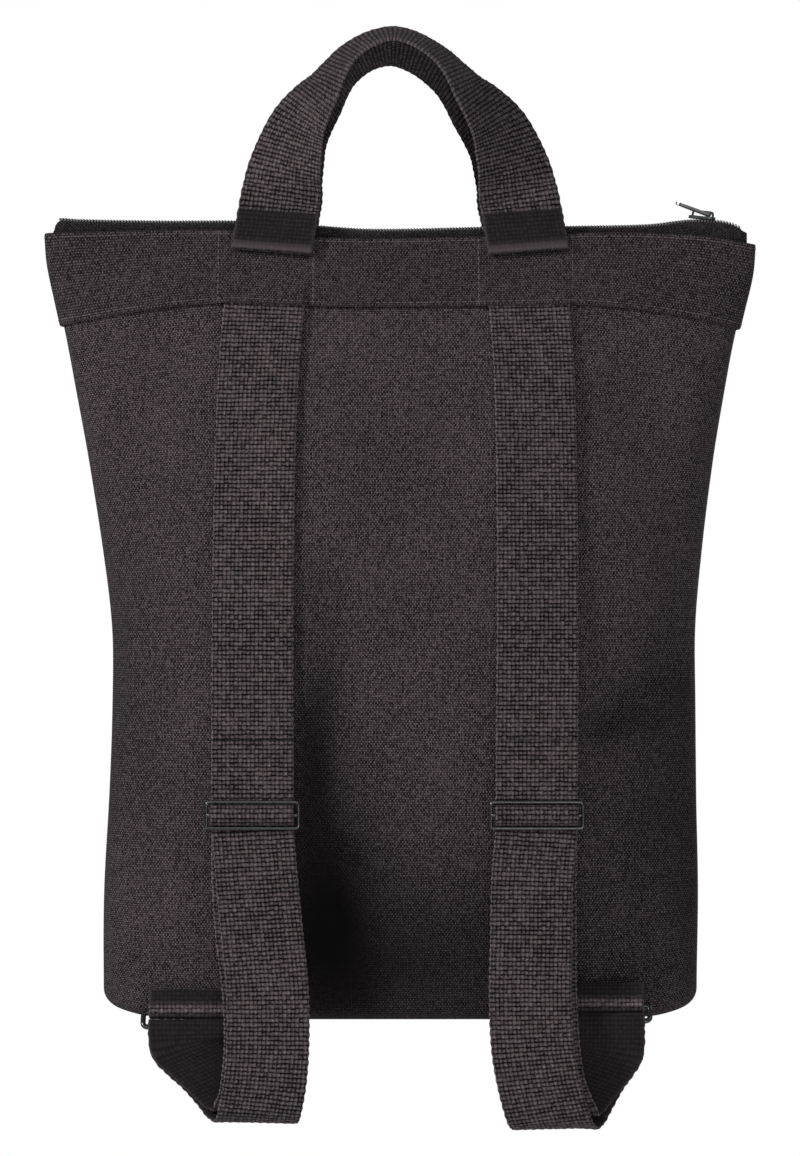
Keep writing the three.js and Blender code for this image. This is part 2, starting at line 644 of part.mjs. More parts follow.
function shoulderStrap(side) {
  const name = side < 0 ? 'left' : 'right';
  const { ringX, buckleX, buckleY } = strapLine(side);
  const level = new THREE.Vector3(1, 0, 0);
  const stations = [];
  const points = [];
  // Down the back from under the hem band to the buckle.
  const topHeight = bandFoot - strapFoot;
  const buckleTop = buckleHeight + barPitch;
  const hangY = buckleY + farBar;
  const downSteps = 16;
  for (let i = 0; i < downSteps; i += 1) {
    const share = i / downSteps;
    const height = THREE.MathUtils.lerp(topHeight, buckleTop + 4, share);
    const x = buckleX + webWidth * readTable(strapWander, 'down', name, share);
    const resting = facePoint(x, height, restGap + halfWeb);
    const settle = THREE.MathUtils.smoothstep(share, 0.55, 1);
    resting.y = THREE.MathUtils.lerp(resting.y, Math.min(hangY, resting.y), settle);
    const slant = facePoint(x + 1, height, 0).sub(facePoint(x - 1, height, 0)).normalize();
    stations.push({ point: resting, across: slant.lerp(level, settle) });
  }
  // Round a bar of the buckle: from one bearing to another, in the strap's own thickness plane.
  const roundBar = (barHeight, radius, from, to, steps = 5) => {
    for (let i = 0; i <= steps; i += 1) {
      const angle = radians(THREE.MathUtils.lerp(from, to, i / steps));
      points.push(new THREE.Vector3(
        buckleX, buckleY - radius * Math.sin(angle), buckleHeight + barHeight + radius * Math.cos(angle)));
    }
  };
  roundBar(barPitch, farBar, -90, -180);
  points.pop();
  roundBar(0, nearBar, 0, 180, 8);
  points.pop();
  roundBar(-barPitch, farBar, 0, -90);
  // The hanging loop, inner layer down and round to the ring, outer layer back up to the buckle.
  const dropTop = buckleHeight - barPitch;
  const dropSpan = dropTop + loopDrop + (side > 0 ? rightLoopExtra : 0) - halfWeb;
  const hang = (rows) => rows.map((row) => new THREE.Vector3(
    THREE.MathUtils.lerp(buckleX, ringX, row[name]),
    hangY - row.out * loopDepth,
    dropTop - row.down * dropSpan));
  const { lower } = ringBars(side);
  const wrap = ringWire / 2 + restGap + halfWeb;
  const wrapPoints = [];
  const wrapFrom = 185;
  const wrapTo = -5;
  const wrapSteps = 10;
  for (let i = 0; i <= wrapSteps; i += 1) {
    const angle = radians(THREE.MathUtils.lerp(wrapFrom, wrapTo, i / wrapSteps));
    wrapPoints.push(new THREE.Vector3(ringX, lower.y + wrap * Math.cos(angle), lower.z + wrap * Math.sin(angle)));
  }
  const loopSteps = 23;
  const trace = (list, steps) => {
    const curve = new THREE.CatmullRomCurve3(list, false, 'centripetal');
    return Array.from({ length: steps + 1 }, (_, i) => curve.getPoint(i / steps));
  };
  const ringIn = wrapPoints[0].clone().setZ(lower.z - 2.5);
  const ringOut = wrapPoints[wrapSteps].clone().setZ(lower.z - 2.5);
  const innerStart = points.pop();
  points.push(...trace([innerStart, ...hang(innerLayer), ringIn, wrapPoints[0]], loopSteps));
  points.push(...wrapPoints.slice(1, -1));
  const outerEnd = new THREE.Vector3(buckleX, buckleY + nearBar, dropTop);
  points.push(...trace([wrapPoints[wrapSteps], ringOut, ...hang(outerLayer), outerEnd], loopSteps));
  points.pop();
  // The outer layer crosses the buckle over the first one and ends as a short tail.
  roundBar(-barPitch, nearBar, -90, 0);
  points.pop();
  roundBar(0, farBar, 180, 0, 8);
  points.pop();
  roundBar(barPitch, nearBar, -180, -90);
  for (const share of [0.35, 0.7, 1]) {
    points.push(new THREE.Vector3(buckleX, hangY - layerPitch - 0.6 * share, buckleTop + share * strapTail));
  }
  // The webbing gives a little on the slant, so its width turns by half of its path's lean.
  points.forEach((point, i) => {
    const squared = squaredTo(tangentAt(points, i), level);
    stations.push({ point, across: squared.lerp(level, 0.5).setY(0).normalize() });
  });
  return ribbonSolid(stations, webWidth, webThickness);
}

// Three-bar strap buckle standing in the XZ plane about its middle bar.
function strapBuckle() {
  const height = 2 * barPitch + buckleBar;
  const slot = barPitch - buckleBar;
  const frame = roundedOutline(new THREE.Shape(), buckleWidth, height, 1.6);
  for (const end of [-1, 1]) {
    frame.holes.push(roundedOutline(new THREE.Path(), buckleWidth - 2 * buckleBar, slot, 0.6, end * barPitch / 2));
  }
  return platedShape(frame, buckleBar, 0.35);
}

// Flat wire loop in the XZ plane, hung from its upper bar at the origin.
function strapRing() {
  const height = ringPitch + ringWire;
  const outline = roundedOutline(new THREE.Shape(), ringWidth, height, 3, -ringPitch / 2);
  outline.holes.push(roundedOutline(
    new THREE.Path(), ringWidth - 2 * ringWire, height - 2 * ringWire, 1.2, -ringPitch / 2));
  return platedShape(outline, ringWire, 0.6);
}

// Webbing tab: sewn flat to the foot of the back panel, down round the ring's upper bar and up behind it.
function ringTab(side) {
  const { upper } = ringBars(side);
  const lift = upper.z;
  const radius = ringWire / 2 + seatGap + halfWeb;
  const stations = [];
  const across = new THREE.Vector3(1, 0, 0);
  const start = facePoint(upper.x - side * webWidth / 2, tabHeight + lift - 1, restGap + halfWeb);
  start.x = upper.x;
  const front = new THREE.Vector3(upper.x, upper.y - radius, upper.z + 1);
  for (const share of [0, 0.35, 0.7, 1]) {
    const point = start.clone().lerp(front, share);
    stations.push({ point, across });
  }
  const wrapSteps = 8;
  for (let i = 0; i <= wrapSteps; i += 1) {
    const angle = Math.PI * (1 + i / wrapSteps);
    const point = new THREE.Vector3(upper.x, upper.y + radius * Math.cos(angle), upper.z + radius * Math.sin(angle));
    stations.push({ point, across });
  }
  stations.push({ point: new THREE.Vector3(upper.x, upper.y + radius, upper.z + 1.4), across });
  return ribbonSolid(stations, webWidth, webThickness);
}

const bag = new THREE.Group();
bag.position.z = -(crownHeight - webThickness);

function add(name, geometry, colour, roughness, metalness = 0) {
  const material = new THREE.MeshStandardMaterial({ color: colour, roughness, metalness });
  const mesh = new THREE.Mesh(geometry, material);
  mesh.name = name;
  bag.add(mesh);
  return mesh;
}

const canvasColour = 0x3f373a;
const bandColour = 0x342e31;
const webbingColour = 0x3e3739;
const tapeColour = 0x333133;
const coilColour = 0x2a2a2b;
const blackMetal = 0x17171a;

add('bag_body', bodyShell(), canvasColour, 0.92);
add('hem_band', hemBand(), bandColour, 0.92);
for (const [name, side] of [['back', -1], ['front', 1]]) {
  add(`zip_tape_${name}`, zipTape(side), tapeColour, 0.85);
  add(`zip_coil_${name}`, zipCoil(side), coilColour, 0.5);
  add(`handle_${name}`, carryHandle(side), webbingColour, 0.9);
}

// The slider rides on the zip's slope, and the puller lies back over its crown.
const sliderSeat = new THREE.Group();
const zipSlope = (zipPlace(sliderPlace + sliderLength / 2).height
  - zipPlace(sliderPlace - sliderLength / 2).height) / sliderLength;
sliderSeat.position.set(sliderPlace, 0, zipPlace(sliderPlace).height);
sliderSeat.rotation.y = -Math.atan(zipSlope);
bag.add(sliderSeat);
sliderSeat.add(add('zip_slider', zipSlider(), blackMetal, 0.35, 0.9));
const puller = add('zip_puller', zipPuller(), blackMetal, 0.35, 0.9);
sliderSeat.add(puller);
puller.position.set(
  crownLength / 2 - crownWall - seatGap - pullerWall * 0.75,
  0,
  plateGap / 2 + plateWall + seatGap + pullerWall * 0.7);
puller.rotation.y = radians(pullerRest);

for (const [name, side] of [['left', -1], ['right', 1]]) {
  const { buckleX, buckleY } = strapLine(side);
  add(`shoulder_strap_${name}`, shoulderStrap(side), webbingColour, 0.9);
  const buckle = add(`strap_buckle_${name}`, strapBuckle(), blackMetal, 0.35, 0.9);
  buckle.position.set(buckleX, buckleY, buckleHeight);
  const ring = add(`strap_ring_${name}`, strapRing(), blackMetal, 0.35, 0.9);
  ring.position.copy(ringBars(side).upper);
  ring.rotation.x = -radians(ringLean);
  add(`ring_tab_${name}`, ringTab(side), webbingColour, 0.9);
}

export default bag;
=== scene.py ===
# Convertible backpack seen from the back: canvas body, hem band, zip, carry handles and shoulder straps.
import json
import bpy
import numpy as np
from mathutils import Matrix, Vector

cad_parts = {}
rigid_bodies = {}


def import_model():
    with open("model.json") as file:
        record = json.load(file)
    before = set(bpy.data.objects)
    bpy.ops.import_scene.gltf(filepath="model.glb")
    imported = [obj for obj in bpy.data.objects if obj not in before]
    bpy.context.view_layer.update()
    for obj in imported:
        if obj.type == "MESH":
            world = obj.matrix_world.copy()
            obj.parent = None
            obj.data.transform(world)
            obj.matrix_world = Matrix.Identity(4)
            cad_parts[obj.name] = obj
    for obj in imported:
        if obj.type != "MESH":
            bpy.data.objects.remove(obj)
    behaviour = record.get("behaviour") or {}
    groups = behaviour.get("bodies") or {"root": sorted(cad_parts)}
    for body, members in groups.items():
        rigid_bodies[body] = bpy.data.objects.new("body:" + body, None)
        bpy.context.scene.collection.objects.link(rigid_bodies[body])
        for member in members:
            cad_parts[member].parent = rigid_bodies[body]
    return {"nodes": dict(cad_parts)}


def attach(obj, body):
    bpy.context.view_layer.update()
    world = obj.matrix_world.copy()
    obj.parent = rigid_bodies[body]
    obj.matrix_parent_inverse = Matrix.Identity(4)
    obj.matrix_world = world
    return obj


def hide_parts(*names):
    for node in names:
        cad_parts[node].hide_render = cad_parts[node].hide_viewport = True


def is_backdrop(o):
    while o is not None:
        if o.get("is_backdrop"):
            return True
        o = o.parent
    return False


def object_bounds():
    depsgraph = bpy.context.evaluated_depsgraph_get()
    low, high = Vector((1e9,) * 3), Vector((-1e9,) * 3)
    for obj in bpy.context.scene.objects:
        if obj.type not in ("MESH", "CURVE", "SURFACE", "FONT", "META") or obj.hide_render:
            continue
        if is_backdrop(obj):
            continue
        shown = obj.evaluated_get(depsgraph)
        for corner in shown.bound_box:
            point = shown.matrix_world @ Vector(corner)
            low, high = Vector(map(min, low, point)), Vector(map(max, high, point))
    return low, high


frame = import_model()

loadedBox = [list(corner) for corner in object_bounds()]
print("frame loaded:", len(frame["nodes"]), "nodes")

mm = 0.001
rootBody = "bag"

# What the whole bag is sized by, in millimetres above its base.
bag = {
    "height": 388.0,
    "topWidth": 351.0,
    "depth": 102.0,
    "wall": 2.0,
    "baseRadius": 9.0,
    "bandHeight": 37.0,
    "hangHeight": 489.2,
    "bandDroop": 10.0,     # the hem band hangs lower at the side seams
    "cornerLift": 3.0,     # the base's two ends are drawn up
    "cornerRun": 26.0,
    "baseSag": 1.6,        # the base's middle hangs lower, fading out between the next two distances
    "sagFrom": 80.0,
    "sagTo": 165.0,
    "sway": 2.0,           # the waist stands a little to the right
    "swayAt": 0.42,        # as a share of the height
    "swaySpread": 0.24,
}
bandFoot = bag["height"] - bag["bandHeight"]

# Height, width and depth as shares, and how square each section is.
bodySections = {
    "height": [0.000, 0.150, 0.280, 0.400, 0.490, 0.587, 0.710, 0.800, 0.867, 0.910, 0.960, 1.000],
    "width": [0.839, 0.842, 0.833, 0.828, 0.829, 0.851, 0.890, 0.925, 0.952, 0.972, 0.994, 1.000],
    "depth": [0.82, 0.90, 0.97, 1.00, 0.99, 0.94, 0.80, 0.64, 0.51, 0.41, 0.28, 0.18],
    "square": [4.6, 3.9, 3.2, 2.9, 2.7, 2.5, 2.3, 2.3, 2.5, 2.9, 4.0, 7.0],
}
mouthWave = {
    "along": [-1.00, -0.90, -0.50, -0.18, 0.25, 0.60, 0.85, 1.00],
    "lift": [-0.003, -0.002, 0.000, -0.010, -0.008, -0.003, -0.007, -0.017],
}


# A smooth curve through a table's columns: cubic pieces whose slope at each row is that of its neighbours.
def readTable(table, placeKey, valueKey, place):
    places = np.asarray(table[placeKey], float)
    values = np.asarray(table[valueKey], float)
    padded = np.pad(np.arange(len(places)), 1, mode="edge")
    low, high = padded[:-2], padded[2:]
    slopes = (values[high] - values[low]) / (places[high] - places[low])
    place = np.asarray(place, float)
    i = np.clip(np.searchsorted(places, place, side="right") - 1, 0, len(places) - 2)
    span = places[i + 1] - places[i]
    t = np.clip((place - places[i]) / span, 0, 1)
    t2, t3 = t * t, t * t * t
    return ((2 * t3 - 3 * t2 + 1) * values[i] + (t3 - 2 * t2 + t) * span * slopes[i]
            + (3 * t2 - 2 * t3) * values[i + 1] + (t3 - t2) * span * slopes[i + 1])


# The named columns of a table, row by row.
def tableRows(table, *keys):
    return zip(*(table[key] for key in keys))


# Ease from 0 at low to 1 at high: three times the square less twice the cube.
def smoothStep(x, low, high):
    t = np.clip((x - low) / (high - low), 0, 1)
    return t * t * (3 - 2 * t)


# Value noise: random numbers on a lattice, blended smoothly between its corners, in as many octaves as asked.
def softNoise(x, y, seed, octaves=3):
    total = np.zeros(np.broadcast(x, y).shape)
    for octave in range(octaves):
        lattice = np.random.default_rng(seed + octave).uniform(-1, 1, (257, 257))
        px, py = np.asarray(x) * 2 ** octave + 37.3 * octave, np.asarray(y) * 2 ** octave + 11.7 * octave
        ix, iy = np.floor(px).astype(int), np.floor(py).astype(int)
        fx, fy = px - ix, py - iy
        fx, fy = fx * fx * (3 - 2 * fx), fy * fy * (3 - 2 * fy)
        corner = lambda dx, dy: lattice[(ix + dx) % 257, (iy + dy) % 257]
        lower = corner(0, 0) * (1 - fx) + corner(1, 0) * fx
        upper = corner(0, 1) * (1 - fx) + corner(1, 1) * fx
        total += (lower * (1 - fy) + upper * fy) / 2 ** octave
    return total


# Everything is worked out in millimetres above the base, and moved to the hang point in metres at the end.
def toFrame(points):
    moved = np.asarray(points, float).copy()
    moved[..., 2] -= bag["hangHeight"]
    return moved * mm


# A mesh from whole arrays: vertices, four-cornered faces, and one pattern coordinate per face corner.
def meshObject(name, vertices, quads, cornerUv=None, material=None, smooth=True):
    mesh = bpy.data.meshes.new(name)
    vertices = toFrame(vertices)
    mesh.vertices.add(len(vertices))
    mesh.vertices.foreach_set("co", vertices.astype(np.float32).ravel())
    mesh.loops.add(quads.size)
    mesh.loops.foreach_set("vertex_index", quads.astype(np.int32).ravel())
    mesh.polygons.add(len(quads))
    mesh.polygons.foreach_set("loop_start", np.arange(0, quads.size, quads.shape[1], dtype=np.int32))
    mesh.polygons.foreach_set("use_smooth", np.full(len(quads), smooth))
    mesh.update(calc_edges=True)
    if cornerUv is not None:
        layer = mesh.uv_layers.new(name="cloth")
        layer.data.foreach_set("uv", cornerUv.astype(np.float32).ravel())
    mesh.validate()
    piece = bpy.data.objects.new(name, mesh)
    bpy.context.collection.objects.link(piece)
    if material:
        mesh.materials.append(material)
    return piece


# Faces of a grid of rows by columns, closed round its columns or left open, with their corner coordinates.
def gridFaces(rows, columns, closed, u, v):
    r, c = np.meshgrid(np.arange(rows - 1), np.arange(columns if closed else columns - 1), indexing="ij")
    r, c = r.ravel(), c.ravel()
    nextC = (c + 1) % columns
    quads = np.stack([r * columns + c, r * columns + nextC, (r + 1) * columns + nextC, (r + 1) * columns + c], 1)
    uv = np.stack([
        np.stack([u[r, c], v[r, c]], 1), np.stack([u[r, c + 1], v[r, c + 1]], 1),
        np.stack([u[r + 1, c + 1], v[r + 1, c + 1]], 1), np.stack([u[r + 1, c], v[r + 1, c]], 1)], 1)
    return quads, uv.reshape(-1, 2)


# A value at each point of a piece, which its material reads as a mask.
def pointMask(piece, name, values):
    layer = piece.data.attributes.new(name, "FLOAT", "POINT")
    layer.data.foreach_set("value", np.asarray(values, np.float32).ravel())


# Distance round each row of a ring-shaped grid, counted from the column at the middle of the back.
def arcFromBack(points):
    steps = np.linalg.norm(np.diff(points, axis=1, append=points[:, :1]), axis=2)
    arc = np.concatenate([np.zeros((len(points), 1)), np.cumsum(steps, axis=1)], axis=1)
    backColumn = int(points.shape[1] * 0.75)
    return arc - arc[:, backColumn:backColumn + 1], backColumn


def sideName(side):
    return "left" if side < 0 else "right"


# What every finished piece needs: the body it rides on, and the nodes it stands for, which it hides.
def finishPiece(piece, body, slotName, *nodes):
    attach(piece, body)
    if nodes:
        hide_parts(*nodes)
    return piece


# Half width, half depth and squareness of the plain section at a height, read from the shares.
def bodySection(height):
    share = np.asarray(height, float) / bag["height"]
    halfWidth = bag["topWidth"] / 2 * readTable(bodySections, "height", "width", share)
    halfDepth = bag["depth"] / 2 * readTable(bodySections, "height", "depth", share)
    return halfWidth, halfDepth, readTable(bodySections, "height", "square", share)


# Height added to the plain skin: the mouth's wave over the top fifth, and over the bottom sixth a smooth rise
# at the base's ends less the sag of its middle.
def waveLift(x, height):
    fade = smoothStep(height, bag["height"] * 0.8, bag["height"])
    along = np.clip(2 * np.asarray(x) / bag["topWidth"], -1, 1)
    baseEnd = bag["topWidth"] / 2 * bodySections["width"][0]
    corner = smoothStep(np.abs(x), baseEnd - bag["cornerRun"], baseEnd)
    foot = 1 - smoothStep(height, 0, bag["height"] / 6)
    middle = 1 - smoothStep(np.abs(x), bag["sagFrom"], bag["sagTo"])
    ends = bag["cornerLift"] * corner - bag["baseSag"] * middle
    return fade * bag["height"] * readTable(mouthWave, "along", "lift", along) + ends * foot


# How far a ring of the skin hangs below its own height: a power of the distance from the middle.
def ringDroop(x, height):
    outer = np.clip((2 * np.abs(x) / bag["topWidth"] - 0.46) / 0.52, 0, 1.1)
    above = (bag["height"] - height) / bag["bandHeight"]
    below = 2 * height / bandFoot - 1
    return bag["bandDroop"] * outer ** 1.5 * np.clip(np.minimum(above, below), 0, 1)


folds = {
    "slack": 1.1,          # mm of soft unevenness all over, always inwards
    "slackLength": 62.0,
    "fallBack": 6.0,       # the lower right of the back panel lies this much further in
    # Long soft valleys on the back panel, ends in mm from the middle and above the base.
    "valleys": {
        "fromX": [93.0, 150.0, -150.0, -128.0, 20.0, -36.0, 118.0, -122.0, 30.0],
        "fromZ": [144.0, 192.0, 200.0, 60.0, 330.0, 128.0, 40.0, 318.0, 96.0],
        "toX": [148.0, 118.0, -112.0, -104.0, 6.0, -22.0, 128.0, -138.0, 36.0],
        "toZ": [184.0, 300.0, 330.0, 190.0, 190.0, 24.0, 130.0, 215.0, 12.0],
        "deep": [4.6, 2.4, 2.2, 1.6, 1.4, 8.0, 3.2, 1.8, 2.6],
        "left": [8.0, 17.0, 20.0, 16.0, 24.0, 20.0, 26.0, 18.0, 30.0],
        "right": [8.0, 17.0, 20.0, 16.0, 24.0, 58.0, 24.0, 18.0, 30.0],
    },
}


# How far the cloth lies inside its plain section: noise plus valleys, each a bell across its own line whose
# two flanks may fall away at different rates.
def clothSink(x, height, side):
    reach = folds["slackLength"]
    sink = folds["slack"] * (0.5 + 0.5 * softNoise(x / reach + 9, height / reach + side * 5 + 30, 4))
    for x0, z0, x1, z1, deep, left, right in tableRows(
            folds["valleys"], "fromX", "fromZ", "toX", "toZ", "deep", "left", "right"):
        dx, dz = x1 - x0, z1 - z0
        length = np.hypot(dx, dz)
        along = np.clip(((x - x0) * dx + (height - z0) * dz) / length ** 2, 0, 1)
        offX, offZ = x - x0 - along * dx, height - z0 - along * dz
        wide = left + (right - left) * smoothStep(offX, -left / 2, left / 2)
        sink = sink + deep * np.exp(-(offX ** 2 + offZ ** 2) / wide ** 2) * (1 - 0.4 * side) / 1.4
    sink = sink + folds["fallBack"] * smoothStep(x, -10, 165) * (1 - smoothStep(height, 120, 260)) * (side < 0)
    calm = 1 - smoothStep(height, bag["height"] - 30, bag["height"])
    return sink * calm * smoothStep(height, 2, 25)


# The body's skin as a function of bearing and height: a superellipse whose corners tighten towards the ends.
def skinPoints(bearing, height, offset=0.0, inset=0.0):
    c, s = np.cos(bearing), np.sin(bearing)
    def plainSkin(level):
        halfWidth, halfDepth, square = bodySection(level)
        reach = (np.abs(c) ** square + np.abs(s) ** square) ** (-1 / square)
        return (halfWidth + offset - inset) * reach * c, (halfDepth + offset - inset) * reach * s, np.abs(s * reach)
    height = height - ringDroop(plainSkin(height)[0], height)
    x, y, flat = plainSkin(height)
    y = y - np.sign(y) * clothSink(x, height, np.sign(y)) * smoothStep(flat, 0.1, 0.7)
    share = height / bag["height"]
    sway = bag["sway"] * np.exp(-((share - bag["swayAt"]) / bag["swaySpread"]) ** 2)
    return np.stack([x + sway, y, height + waveLift(x, height)], -1)


# A point off the back face (side -1) or front face (side 1), offset along the skin's own normal.
def facePoint(x, height, offset, side=-1):
    def skin(px, pz):
        halfWidth, halfDepth, square = bodySection(pz)
        share = np.minimum(np.abs(px) / halfWidth, 0.999)
        depth = halfDepth * (1 - share ** square) ** (1 / square)
        return np.stack(np.broadcast_arrays(px, side * depth, pz + waveLift(px, pz)), -1)
    x, height = np.asarray(x, float), np.asarray(height, float)
    step = 0.5
    along = skin(x + step, height) - skin(x - step, height)
    up = skin(x, np.minimum(height + step, bag["height"])) - skin(x, height - step)
    normal = np.cross(along, up)
    normal /= np.linalg.norm(normal, axis=-1, keepdims=True)
    normal *= np.sign(normal[..., 1:2]) * side
    return skin(x, height) + normal * np.asarray(offset, float)[..., None]


# An empty shader node group with its named inputs and outputs.
def newGroup(name, inputs, outputs):
    group = bpy.data.node_groups.new(name, "ShaderNodeTree")
    for label, kind, value in inputs:
        socket = group.interface.new_socket(name=label, in_out="INPUT", socket_type=kind)
        if value is not None:
            socket.default_value = value
    for label, kind in outputs:
        group.interface.new_socket(name=label, in_out="OUTPUT", socket_type=kind)
    return group, group.nodes.new("NodeGroupInput"), group.nodes.new("NodeGroupOutput")


# One Math node, whose inputs are numbers or other nodes' outputs.
def maths(tree, operation, *values):
    node = tree.nodes.new("ShaderNodeMath")
    node.operation = operation
    for socket, value in zip(node.inputs, values):
        if isinstance(value, (int, float)):
            socket.default_value = value
        else:
            tree.links.new(value, socket)
    return node.outputs[0]


# A value taken down where a mask is high: the value times one less amount times mask.
def fadeBy(tree, value, mask, amount):
    return maths(tree, "MULTIPLY", value, maths(tree, "MULTIPLY_ADD", mask, -amount, 1.0))


# A piece's own point mask, read by name.
def readMask(tree, name):
    node = tree.nodes.new("ShaderNodeAttribute")
    node.attribute_name = name
    return node.outputs["Fac"]


# Two crossed sets of threads: each is a half sine across its pitch, lifted where it passes over the other.
# The last output is the product of both half sines, each raised to a power, so that the gaps between rows are widest;
# in the colour it is painted shade of the webbing's bumps, light on their tops and dark between.
def makeWeaveGroup():
    group, start, end = newGroup(
        "crossedThreads",
        [("Vector", "NodeSocketVector", None), ("Warp Pitch", "NodeSocketFloat", 0.6),
         ("Weft Pitch", "NodeSocketFloat", 1.0), ("Slub", "NodeSocketFloat", 0.15)],
        [("Height", "NodeSocketFloat"), ("Gap", "NodeSocketFloat"), ("Thread", "NodeSocketFloat"),
         ("Over", "NodeSocketFloat"), ("Bump Tops", "NodeSocketFloat")])
    split = group.nodes.new("ShaderNodeSeparateXYZ")
    wander = group.nodes.new("ShaderNodeTexNoise")
    wander.inputs["Scale"].default_value = 0.11
    wander.inputs["Detail"].default_value = 2.0
    group.links.new(start.outputs["Vector"], split.inputs[0])
    group.links.new(start.outputs["Vector"], wander.inputs["Vector"])
    bend = maths(group, "MULTIPLY", maths(group, "SUBTRACT", wander.outputs[0], 0.5), start.outputs["Slub"])
    u = maths(group, "DIVIDE", maths(group, "ADD", split.outputs[0], bend), start.outputs["Warp Pitch"])
    v = maths(group, "DIVIDE", maths(group, "ADD", split.outputs[1], bend), start.outputs["Weft Pitch"])
    sinU = maths(group, "SINE", maths(group, "MULTIPLY", u, np.pi))
    sinV = maths(group, "SINE", maths(group, "MULTIPLY", v, np.pi))
    over = maths(group, "MULTIPLY", sinU, sinV)
    warp = maths(group, "MULTIPLY", maths(group, "ABSOLUTE", sinU), maths(group, "MULTIPLY_ADD", over, 0.5, 0.6))
    weft = maths(group, "MULTIPLY", maths(group, "ABSOLUTE", sinV), maths(group, "MULTIPLY_ADD", over, -0.5, 0.6))
    height = maths(group, "MAXIMUM", warp, weft)
    threadId = maths(group, "ADD", maths(group, "FLOOR", u), maths(group, "MULTIPLY", maths(group, "FLOOR", v), 57.0))
    tone = group.nodes.new("ShaderNodeTexWhiteNoise")
    tone.noise_dimensions = "1D"
    group.links.new(threadId, tone.inputs["W"])
    gap = maths(group, "SUBTRACT", 1.0, maths(group, "SMOOTH_MIN", height, 1.0, 0.1))
    group.links.new(height, end.inputs["Height"])
    group.links.new(gap, end.inputs["Gap"])
    group.links.new(tone.outputs["Value"], end.inputs["Thread"])
    group.links.new(over, end.inputs["Over"])
    columns = maths(group, "POWER", maths(group, "ABSOLUTE", sinU), 0.4)
    rows = maths(group, "POWER", maths(group, "ABSOLUTE", sinV), 0.9)
    group.links.new(maths(group, "MULTIPLY", columns, rows), end.inputs["Bump Tops"])
    return group


# Broad tone of worn cloth: two sizes of noise added, one cloudy and one speckled with lint.
def makeToneGroup():
    group, start, end = newGroup(
        "clothTone",
        [("Vector", "NodeSocketVector", None), ("Cloud Scale", "NodeSocketFloat", 0.02),
         ("Lint Scale", "NodeSocketFloat", 1.6)],
        [("Cloud", "NodeSocketFloat"), ("Lint", "NodeSocketFloat")])
    for label, output, detail in (("Cloud Scale", "Cloud", 4.0), ("Lint Scale", "Lint", 2.0)):
        noise = group.nodes.new("ShaderNodeTexNoise")
        noise.inputs["Detail"].default_value = detail
        group.links.new(start.outputs["Vector"], noise.inputs["Vector"])
        group.links.new(start.outputs[label], noise.inputs["Scale"])
        group.links.new(noise.outputs[0], end.inputs[output])
    return group


weaveGroup = makeWeaveGroup()
toneGroup = makeToneGroup()


# A screen colour of 0 to 255 as the linear values that shaders take.
def srgb(r, g, b):
    level = np.array([r, g, b]) / 255
    linear = np.where(level <= 0.04045, level / 12.92, ((level + 0.055) / 1.055) ** 2.4)
    return (*linear, 1.0)


# A group placed in a material with its own values; underscores stand for the spaces of its inputs' names.
def place(tree, group, **values):
    node = tree.nodes.new("ShaderNodeGroup")
    node.node_tree = group
    for label, value in values.items():
        node.inputs[label.replace("_", " ")].default_value = value
    return node


# A Principled material with the numbers that are the same all over it.
def newMaterial(name, roughness, metallic=0.0, sheen=0.0, specular=0.3):
    material = bpy.data.materials.new(name)
    material.use_nodes = True
    shader = material.node_tree.nodes["Principled BSDF"]
    shader.inputs["Roughness"].default_value = roughness
    shader.inputs["Metallic"].default_value = metallic
    shader.inputs["Specular IOR Level"].default_value = specular
    shader.inputs["Sheen Weight"].default_value = sheen
    shader.inputs["Sheen Roughness"].default_value = 0.6
    return material, material.node_tree, shader
